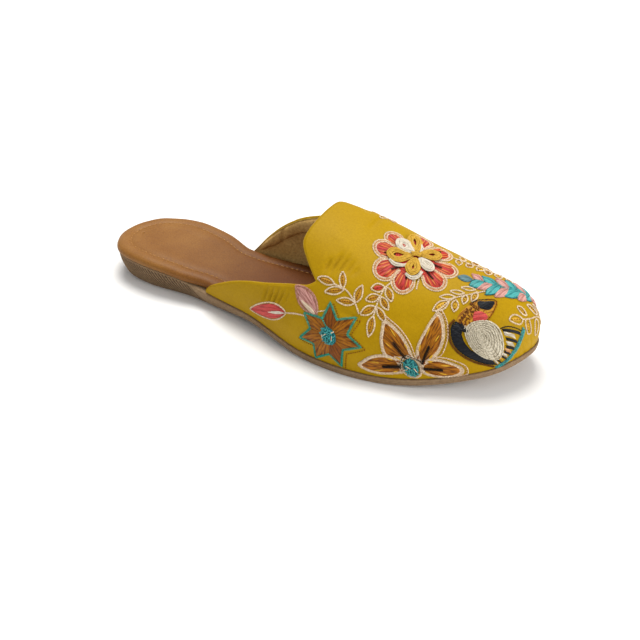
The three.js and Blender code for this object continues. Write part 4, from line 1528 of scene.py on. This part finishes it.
def sew_star():
    for i, tip in enumerate(STAR_TIPS):
        before, after = STAR_NOTCHES[i - 1], STAR_NOTCHES[i]
        kite = straight_path([STAR_CENTRE, before, tip, after], step=1.1, closed=True)
        satin("russet" if i in (0, 3) else "ochre", kite, STAR_CENTRE, dome=0.35)
    rim = [p for pair in zip(STAR_TIPS, STAR_NOTCHES) for p in pair]
    line("jade", "bar", straight_path(rim, closed=True), closed=True, lift=0.18)
    line("jade", "chain", straight_path([(156, 66), (159.4, 68.7)]), lift=0.5)
    for shadow in STAR_SHADOWS:
        line("russet", "knot", straight_path(shadow), lift=0.02)
    knotted_centre("turquoise", STAR_CENTRE, (4.4, 4.1), 34, 3)


# The rose bud and the pink bud: base, tip, width and shape
ROSE_BUD = ((133.8, 71.6), (107.5, 76.6), 9.6, "bud")
PINK_BUD = ((152.3, 65.4), (136.6, 56.2), 9.4, "leaf")


def sew_buds():
    line("cream", "chain", leaf_outline(*ROSE_BUD), closed=True)
    satin("rose", leaf_outline(*ROSE_BUD, inset=0.7), (142, 70), dome=0.55, rings=11)
    fold = leaf_outline((124, 73.6), (108.6, 76.4), 0.9, count=20)
    satin("crimson", fold, (140, 70), dome=0.1, rings=4, floor=0.5)
    light = leaf_outline((133.4, 71.9), (121.6, 74.2), 1.7, count=24)
    satin("white", light, (140, 70), dome=0.3, floor=0.4)
    line("cream", "chain", straight_path([(133.8, 71.8), (139.5, 70.2), (145.0, 69.2)]))
    line("pink", "bar", leaf_outline(*PINK_BUD), closed=True)
    satin("pink", leaf_outline(*PINK_BUD, inset=0.9), (158, 69), dome=0.5)
    light = leaf_outline((151.4, 66.0), (141.6, 62.2), 2.6, count=24)
    satin("cream", light, (158, 68), dome=0.3, floor=0.35)
    line("cream", "stem", straight_path([(152.6, 64.0), (155.6, 62.2)]))


# The four ochre petals: outline, the point that the threads fan out from, and the dark vein
FOUR_PETALS = [
    (
        [(204.0, 58.8), (200.6, 54.0), (195.5, 50.5), (187.2, 48.5), (187.0, 53.5), (187.8, 58.8),
         (191, 64.2), (195.5, 63.2), (201.0, 60.6)],
        (208, 62), ((200.4, 59.7), (193.8, 55.9)),
    ),
    (
        [(206.8, 58.6), (205.4, 53.0), (206.8, 44.0), (208.8, 35.0), (210.4, 31.6), (213.8, 35.0),
         (215.9, 41.2), (215.3, 48.6), (212.2, 54.8), (209.4, 58.8)],
        (206, 66), ((208.6, 58.2), (210.4, 49.0)),
    ),
    (
        [(208.8, 59.0), (213.8, 53.8), (220.5, 51.6), (226.0, 51.6), (226.9, 54.6), (222.4, 59.6),
         (215.5, 63.0), (209.4, 63.4)],
        (202, 62), ((209.8, 60.6), (217.9, 56.7)),
    ),
    (
        [(199.2, 65.0), (197.0, 62.9), (190.5, 64.5), (184.4, 68.8), (180.4, 74.0), (178.4, 77.8),
         (184.0, 77.6), (190.5, 75.2), (196.5, 71.6), (200.4, 68.4)],
        (206, 62), ((198.8, 65.4), (190.5, 70.2)),
    ),
]
# The dotted lines that run along some of the petals
FOUR_EDGINGS = [
    [(187.2, 47.0), (195.6, 49.0), (201.6, 52.7), (205.2, 57.4)],
    [(211.0, 30.6), (215.0, 34.2), (217.4, 41.0), (216.8, 49.0), (214.4, 53.0)],
    [(214.0, 52.2), (220.5, 50.0), (227.2, 50.0), (228.5, 54.9), (225.0, 59.0)],
]
FOUR_CENTRE = (203.9, 63.7)
FOUR_FLECKS = 9


def sew_four_petals():
    for knots, fan, vein in FOUR_PETALS:
        rim = smooth_path(knots, 0.7, closed=True)
        middle = rim.mean(0)
        inner = middle + (rim - middle) * 0.84
        line("cream", "bar", rim, closed=True, lift=0.08)
        line("cream", "chain", middle + (rim - middle) * 0.9, closed=True)
        satin("peach", rim, fan, dome=0.04, rings=4)
        satin("ochre", inner, fan, dome=0.45, rings=10)
        away = np.array(fan, float)
        for k in range(FOUR_FLECKS):
            place = inner[int((k + 0.5) / FOUR_FLECKS * len(inner))]
            start = away + (place - away) * 0.72
            end = away + (place - away) * 0.93
            fleck = leaf_outline(start, end, 0.8, count=14)
            satin("gold" if k % 2 else "russet", fleck, away, dome=0.12, rings=4, floor=0.32)
        dark = straight_path(vein, 0.3)
        line("umber", "bar", dark, lift=0.85)
        line("umber", "bar", dark + (0.3, 0.5), lift=0.7)
    for knots in FOUR_EDGINGS:
        edging = smooth_path(knots)
        line("peach", "knot", edging, lift=0.05)
        line("cream", "stem", edging + unit(edging.mean(0) - np.array(FOUR_CENTRE)) * 0.8)
    ring = np.array(FOUR_CENTRE) + circle(30)[1] * (4.9, 5.6)
    line("cream", "bar", ring, closed=True, lift=0.3)
    rim = smooth_path([(199.0, 66.5), (199.6, 60.2), (202, 58.6), (207.6, 58.0)])
    line("umber", "stem", rim, lift=0.4)
    knotted_centre("turquoise", FOUR_CENTRE, (3.7, 4.5), 30, 5)


# The feathery spray near the toe: base and tip of each short satin leaf, its width and colour.
SPRAY = [
    ((217.5, 5.6), (210.2, 8.0), 4.2, "slate"),
    ((222.5, 3.6), (215.4, 1.2), 3.8, "pink"),
    ((223.0, 3.6), (218.0, 10.4), 5.4, "turquoise"),
    ((229.5, 2.4), (220.4, -0.2), 4.8, "turquoise"),
    ((227.5, 2.8), (222.2, 9.8), 4.2, "pink"),
    ((231.0, 1.4), (227.4, 11.2), 4.8, "turquoise"),
    ((235.0, -0.4), (226.6, -3.4), 4.4, "pink"),
    ((235.4, 0.2), (231.8, 9.6), 4.2, "pink"),
    ((238.2, -2.6), (230.6, -6.6), 4.8, "turquoise"),
    ((239.4, -4.4), (235.4, 6.2), 5.2, "turquoise"),
    ((241.0, -7.5), (233.4, -11.6), 4.6, "pink"),
    ((241.6, -6.2), (241.2, 1.8), 3.2, "pink"),
    ((242.4, -10.0), (242.4, -2.2), 3.2, "turquoise"),
    ((242.2, -12.0), (235.6, -17.2), 4.6, "turquoise"),
    ((243.2, -15.0), (243.8, -8.4), 3.0, "pink"),
    ((243.2, -16.5), (239.0, -23.4), 4.2, "pink"),
    ((243.8, -18.0), (244.8, -26.6), 4.0, "turquoise"),
]
SPRAY_SPINE = [(219, 5), (224.5, 3.4), (230, 1.2), (235.5, -1.6), (239.6, -6), (242.2, -11),
               (243.4, -17)]


def sew_spray():
    spine = smooth_path(SPRAY_SPINE, 1.0)
    for sway in (-1.1, 0, 1.1):
        line("turquoise", "bar", spine + (sway * 0.4, sway), lift=0.05)
    for number, (base, tip, width, colour) in enumerate(SPRAY):
        step = 0.05 * (number % 3)
        field = leaf_outline(base, tip, width, count=32)
        satin(colour, field, base, dome=0.7, floor=0.05 + step)
        rim = leaf_outline(base, tip, width + 0.3, count=32)
        line("teal" if colour == "turquoise" else colour, "stem", rim, closed=True, lift=step)


BODY_CENTRE = (232.4, 31.4)
BODY = [(224.0, 31.6), (226.4, 36.8), (230.6, 40.0), (236.0, 40.0), (240.6, 36.4), (241.8, 30.4),
        (240.4, 24.4), (237.0, 21.8), (231.0, 23.4), (226.4, 27.2)]
BODY_COILS = 8.5
WING_OUTER = [(223.4, 29.8), (221.4, 31.0), (219.0, 31.8), (218.2, 34.4), (218.8, 37.6), (221.4, 41.8),
              (226.6, 44.0), (232.8, 43.8), (237.0, 42.2), (240.0, 39.8)]
WING_INNER = [(238.2, 38.6), (235.4, 39.9), (232.0, 40.6), (227.8, 40.2), (224.8, 38.0), (223.2, 35.6),
              (223.0, 33.2), (224.4, 32.0)]
WING_EDGING = [(218.4, 31.0), (217.0, 34.4), (217.6, 38.0), (220.4, 42.6), (226.2, 45.1), (233.0, 44.9),
               (239.4, 42.0)]
# Breast, crest, cheek and head: colour, outline, the point that the threads fan out from, dome, floor
BIRD_FIELDS = [
    ("honey", [(223.4, 19.6), (227.0, 17.6), (232.4, 17.8), (232.2, 21.4), (228.4, 26.4), (225.6, 30.2),
               (223.8, 33.0), (219.8, 31.8), (219.6, 27.0), (221.2, 22.6)], (232, 5), 0.35, 0.0),
    ("honey", [(223.8, 19.6), (225.0, 16.2), (228.6, 14.2), (232.8, 11.8), (233.7, 13.4), (233.6, 18.0),
               (232.6, 22.4), (230.0, 24.0), (226.0, 22.6)], (222, 30), 0.25, 0.0),
    ("rose", [(226.0, 22.4), (229.6, 20.4), (232.4, 21.0), (231.8, 23.4), (229.4, 25.2), (226.6, 26.6)],
     (240, 14), 0.45, 0.35),
    ("navy", [(225.4, 16.8), (228.5, 14.9), (232.6, 12.3), (232.9, 14.8), (231.8, 17.8), (227.6, 19.4)],
     (216, 20), 0.5, 0.3),
]
CREST_LINE = [(229.0, 13.2), (232.8, 11.2), (234.1, 13.2), (233.9, 17.8), (232.9, 22.0)]
BREAST_FLECKS = 64


def coil():
    """The body's thread: a spiral that fills its outline and domes up in the middle."""
    body = rounded_field(BODY)
    t = np.linspace(0.02, 1, 760)
    around = t * BODY_COILS * 2 * np.pi
    rim = np.linalg.norm(body - np.array(BODY_CENTRE), axis=1)
    way = np.arctan2(body[:, 1] - BODY_CENTRE[1], body[:, 0] - BODY_CENTRE[0])
    order = np.argsort(way)
    reach = np.interp((around + np.pi) % (2 * np.pi) - np.pi, way[order], rim[order], period=2 * np.pi)
    ways = np.stack([np.cos(around), np.sin(around)], 1)
    return np.array(BODY_CENTRE) + ways * (reach * t)[:, None], 0.2 + 0.8 * np.sqrt(1 - t**2 * 0.98)


def sew_bird():
    """A stylised bird: a coiled body in a dark wing, a gold breast, a crest and a dark head."""
    satin("stone", rounded_field(BODY), (200, 0), dome=0.8, rings=10)
    spiral, height = coil()
    line("stone", "stem", spiral, lift=height)
    for colour, outline, fan, dome, floor in BIRD_FIELDS:
        satin(colour, rounded_field(outline), fan, dome=dome, floor=floor)
    chance = np.random.default_rng(11)
    for _ in range(BREAST_FLECKS):
        v = chance.uniform(18.6, 31.0)
        u = 220.6 + (31.0 - v) * 0.2 + chance.uniform(-0.4, 4.6)
        line("brown", "knot", np.array([(u, v), (u + 0.3, v + 0.3)]), lift=0.3)
    line("navy", "stem", smooth_path([(223.6, 18.2), (225.4, 15.8), (228.6, 13.8)]), lift=0.1)
    line("russet", "stem", smooth_path(CREST_LINE))
    outer = smooth_path(WING_OUTER, 0.8)
    inner = smooth_path(WING_INNER, 0.8)
    for part in crescent(outer, inner):
        satin("navy", part, part.mean(0) + (6, -6), dome=0.35)
    line("navy", "stem", outer[3:], lift=0.1)
    line("navy", "stem", inner, lift=0.1)
    line("brown", "bar", smooth_path(WING_EDGING), lift=0.02)
    hook = leaf_outline((222.4, 33.8), (226.6, 32.4), 1.6, count=20)
    satin("navy", hook, (218, 34), dome=0.3, rings=5, floor=0.5)


def crescent(outer, inner, count=9):
    """The crescent between two lines, as a row of overlapping fields."""
    far = inner[::-1]
    a = outer[np.linspace(0, len(outer) - 1, count + 1).astype(int)]
    b = far[np.linspace(0, len(far) - 1, count + 1).astype(int)]
    fields = []
    for i in range(count):
        corners = [a[i], a[i + 1], b[i + 1], b[i]]
        middle = np.mean(corners, axis=0)
        fields.append(straight_path([middle + (c - middle) * 1.12 for c in corners], 0.7, closed=True))
    return fields


def blunt_bar(start, end, width):
    """A short straight bar of satin stitch with square ends."""
    side = beside(end - start) * width / 2
    return straight_path([start - side, start + side, end + side, end - side], 0.4, closed=True)


TAIL_INNER = [(239.6, 21.8), (241.6, 23.8), (242.3, 27.0), (241.8, 31.2), (240.8, 34.8), (239.4, 38.0)]
TAIL_RIBBON = [(246.2, 11.4), (246.2, 16.5), (245.5, 23.6), (244.0, 31.3), (242.2, 37.0), (240.2, 41.6)]
TAIL_BARS = "navy white navy white navy peach navy white navy gold navy white".split()
# The ribbon's rows: how far each is moved, and its lift
RIBBON_ROWS = ((-0.1, 0.12), (0.25, 0.3), (0.55, 0.18))


def sew_tail():
    """The bird's tail: short bars, dark and light by turns, up to a turquoise ribbon."""
    inner = smooth_path(TAIL_INNER, 0.4)
    ribbon = smooth_path(TAIL_RIBBON, 0.4)
    count = len(TAIL_BARS)
    for k, colour in enumerate(TAIL_BARS):
        start = inner[int(k / (count - 1) * (len(inner) - 1))]
        end = ribbon[int((0.12 + 0.78 * k / (count - 1)) * (len(ribbon) - 1))]
        end = start + (end - start) * (0.94 if colour == "navy" else 0.7)
        width = 1.0 if colour == "navy" else 1.3
        satin(colour, blunt_bar(start, end, width), start, dome=0.4, rings=5)
    line("navy", "stem", smooth_path([(239.2, 21.1), (241.2, 18.1), (244.0, 15.1), (245.5, 13.7)]))
    for moved, lift in RIBBON_ROWS:
        line("turquoise", "bar", ribbon + (moved, 0), lift=lift)


STITCH_PITCHES = {"chain": 1.05, "stem": 1.5, "knot": 1.25, "bar": 0.62}


def make_embroidery():
    sew_coral_flower()
    for stem, leaves in SPRIGS:
        sprig(stem, leaves)
    sew_star()
    sew_buds()
    sew_four_petals()
    sew_spray()
    sew_bird()
    sew_tail()
    pieces = []
    for colour, forms in SATIN.items():
        pieces.append(make_piece("satin_" + colour, forms, rayon(colour), outward=True))
    spun = {colour: spun_thread(colour) for colour in sorted({colour for colour, _ in LINES})}
    for (colour, stitch), lines in LINES.items():
        name = f"{stitch}_stitch_{colour}"
        pieces.append(run_stitches(name, lines, stitch, STITCH_PITCHES[stitch], spun[colour]))
    for piece in pieces:
        finish_piece(piece, "embroidery_thread")


# Thread rosette: thick loops of soft thread on a low pad

ROSETTE_AT = 0.739 * SOLE_LENGTH
ROSETTE_TURN = 0.44 * np.pi
ROSETTE_PAD = 10.8
# Each loop runs out from the middle and back: colour, root, tip, width, strands, lowest lift
ROSETTE_LOOPS = [
    ("straw", (185.6, 7.0), (177.8, -6.4), 8.0, 5, 1.2),
    ("straw", (187.6, 6.6), (196.8, -0.8), 8.6, 5, 1.3),
    ("white", (184.8, 7.8), (173.2, 5.2), 8.6, 6, 1.5),
    ("straw", (185.4, 10.0), (173.8, 17.6), 9.0, 5, 1.2),
    ("straw", (187.4, 10.4), (190.0, 21.4), 7.6, 5, 1.4),
    ("white", (188.8, 9.2), (198.4, 12.6), 6.4, 5, 1.3),
]
ROSETTE_TAILS = [
    ("white", [(176.4, 19.4), (180.0, 20.2), (184.4, 18.0), (186.0, 15.6)], 3, 0.75),
    ("white", [(187.2, 21.6), (190.4, 22.4), (193.4, 20.0), (193.6, 16.0)], 3, 0.75),
    ("white", [(184.2, -1.4), (186.6, 1.6), (187.4, 5.0)], 2, 1.1),
    ("straw", [(184.0, 9.6), (186.4, 8.0), (189.0, 7.4)], 4, 1.9),
    ("coral", [(177.2, 6.6), (178.6, 7.6), (180.0, 7.4)], 3, 1.3),
]


# The floss's twist: its slant in degrees, and its strands' pitch in mm
FLOSS_TWIST = 35
FLOSS_PITCH = 0.8


def soft_strand(colour):
    """Soft six-strand cotton floss in loose loops: matt, with a visible twist. Its colour mottles
    between the floss's light and dark tone, and the twist's grooves are painted in the dark tone as
    shade.
    """
    light, dark = THREADS[colour]
    material, tree, shader = new_material("cotton_floss_" + colour, light, 0.65, 0.2)
    strand = add(tree, "ShaderNodeUVMap", uv_map="cloth_mm")
    inputs = {"Vector": strand, "Rotation": (0, 0, math.radians(FLOSS_TWIST))}
    turned = add(tree, "ShaderNodeMapping", inputs)
    inputs = {"Vector": turned, "Scale": WAVE_UNIT / FLOSS_PITCH, "Detail": 0.0, "Distortion": 0.4}
    twist = add(tree, "ShaderNodeTexWave", inputs).outputs["Fac"]
    inputs = {"Vector": object_mm(tree), "Scale": 1 / 1.1, "Detail": 3.0, "Roughness": 0.55}
    mixed = weighted(tree, twist, 0.35, add(tree, "ShaderNodeTexNoise", inputs))
    # Painted shade: the twist's grooves take the floss's dark tone
    toned = add(tree, "ShaderNodeValToRGB", {"Fac": mixed}, [(0.3, dark), (0.55, light)])
    dress(tree, shader, toned, None, (mixed, 0.2, 0.6))
    return material


STRAND_RADIUS = 0.4
STRAND_PITCH = 0.68
STRAND_SWAY = 0.12


def strand_bundle(path, strands, low, closed):
    """Parallel strands along a path on the sheet, the middle ones highest."""
    along = np.roll(path, -1, 0) - np.roll(path, 1, 0) if closed else np.gradient(path, axis=0)
    side = np.stack([-along[:, 1], along[:, 0]], 1) / np.linalg.norm(along, axis=1)[:, None]
    turn = np.linspace(0, 9, len(path))
    if closed:
        turn = np.linspace(0, 4 * np.pi, len(path), endpoint=False)
    forms = []
    for k in range(strands):
        off = k - (strands - 1) / 2
        crown = 0.5 * math.cos(off / max(strands, 2) * math.pi)
        sway = STRAND_SWAY * np.sin(turn + 2.1 * k)
        rise = 0 if closed else 0.1 * np.sin(np.arange(len(path)) * 0.35 + k)
        moved = path + side * (off * STRAND_PITCH + sway)[:, None]
        points = sewn(moved, low + crown + rise)
        forms.append(tube(points, STRAND_RADIUS, 8, sewn_facing(path), closed))
    return forms


def make_rosette():
    v = float(sheet_v(np.array(ROSETTE_AT), np.array(ROSETTE_TURN)))
    centre = np.array([ROSETTE_AT, v])
    angle, directions = circle(60)
    rim = centre + directions * (ROSETTE_PAD + 0.5 * np.cos(12 * angle))[:, None]
    SATIN.clear()
    satin("coral", rim, centre, dome=0.4, rings=12, floor=0.3)
    forms = {"straw": [], "white": [], "coral": SATIN.pop("coral")}
    for colour, root, tip, width, strands, low in ROSETTE_LOOPS:
        path = leaf_outline(root, tip, width, "petal", inset=strands * STRAND_PITCH / 2 - 0.2, count=52)
        forms[colour] += strand_bundle(path, strands, low, True)
    for colour, points, strands, low in ROSETTE_TAILS:
        forms[colour] += strand_bundle(smooth_path(points, 0.5), strands, low, False)
    for colour, made in forms.items():
        piece = make_piece("rosette_loops_" + colour, made, soft_strand(colour), outward=True)
        finish_piece(piece, "embroidery_thread", "thread_rosette")


# Stage

CAMERA_AZIMUTH = 29.81
CAMERA_ELEVATION = 30.54
CAMERA_DISTANCE = 650.0
CAMERA_TARGET = (126.0, 0.0, 20.0)
CAMERA_FOCAL_PX = 1198.0
CAMERA_CENTRE_PX = (313.17, 279.85)
FRAME_PX = 640.0
FLOOR_HALF = 4.0
WORLD_STRENGTH = 0.53
# Name, place and size in metres, watts and colour
LIGHTS = [
    ("key_softbox", (-0.32, 0.45, 1.35), 0.9, 21.0, "#FFFDF8"),
    ("fill_softbox", (1.5, -0.1, 0.6), 1.2, 16.0, "#FFFDFA"),
]


def make_camera():
    data = bpy.data.cameras.new("camera")
    data.sensor_width = 36.0
    data.lens = CAMERA_FOCAL_PX / FRAME_PX * data.sensor_width
    data.shift_x = (FRAME_PX / 2 - CAMERA_CENTRE_PX[0]) / FRAME_PX
    data.shift_y = (CAMERA_CENTRE_PX[1] - FRAME_PX / 2) / FRAME_PX
    data.clip_start = 0.01
    camera = put("camera", data)
    turn, rise = math.radians(CAMERA_AZIMUTH), math.radians(CAMERA_ELEVATION)
    back = Vector((math.sin(turn) * math.cos(rise), -math.cos(turn) * math.cos(rise), math.sin(rise)))
    target = Vector((np.array(CAMERA_TARGET) + SHIFT) * MM)
    camera.location = target + back * CAMERA_DISTANCE * MM
    camera.rotation_mode = "QUATERNION"
    camera.rotation_quaternion = (-back).to_track_quat("-Z", "Y")
    bpy.context.scene.camera = camera


def make_light(name, place, size, watts, colour):
    data = bpy.data.lights.new(name, "AREA")
    data.shape = "DISK"
    data.size = size
    data.energy = watts
    data.color = linear(colour)[:3]
    light = put(name, data)
    light.location = place
    light.rotation_mode = "QUATERNION"
    light.rotation_quaternion = Vector(place).to_track_quat("Z", "Y")


def make_studio():
    mesh = bpy.data.meshes.new("studio_floor")
    corners = [(x * FLOOR_HALF, y * FLOOR_HALF, 0) for x, y in ((-1, -1), (1, -1), (1, 1), (-1, 1))]
    mesh.from_pydata(corners, [], [(0, 1, 2, 3)])
    floor = put("studio_floor", mesh)
    material, _, _ = new_material("pale_paper_floor", "#F4F4F4", 0.9, 0.5)
    mesh.materials.append(material)
    for light in LIGHTS:
        make_light(*light)
    world = bpy.data.worlds.new("studio_world")
    world.use_nodes = True
    world.node_tree.nodes["Background"].inputs["Color"].default_value = linear("#FFFFFF")
    world.node_tree.nodes["Background"].inputs["Strength"].default_value = WORLD_STRENGTH
    bpy.context.scene.world = world
    bpy.context.scene.view_settings.view_transform = "Standard"


make_camera()
make_studio()
finish_piece(make_outsole(), "tpr_sole", "outsole")
footbed, footbed_seam = make_footbed()
finish_piece(footbed, "footbed_leather", "footbed")
outer_depth = -FABRIC_SHARE * UPPER_WALL
fabric = upper_layer("upper_fabric_skin", 0.0, outer_depth, False, woven_silk())
finish_piece(fabric, "upper_fabric", "upper")
lining_depth = outer_depth - LAYER_GAP
lining = upper_layer("upper_lining", lining_depth, -UPPER_WALL, True, woven_lining(), lining_pucker)
finish_piece(lining, "lining_textile", "upper")
binding = top_edge_tube(-BINDING_DEPTH, BINDING_RADIUS)
finish_piece(make_piece("topline_binding", [binding], edge_binding(), outward=True), "footbed_leather")
seam_line = [(footbed_seam, np.array([0.0, 0.0, 1.0]), True)]
seam = run_stitches("footbed_stitching", seam_line, "seam", STITCH_PITCH, spun_thread("tan"), 0.0)
finish_piece(seam, "embroidery_thread")
make_embroidery()
make_rosette()
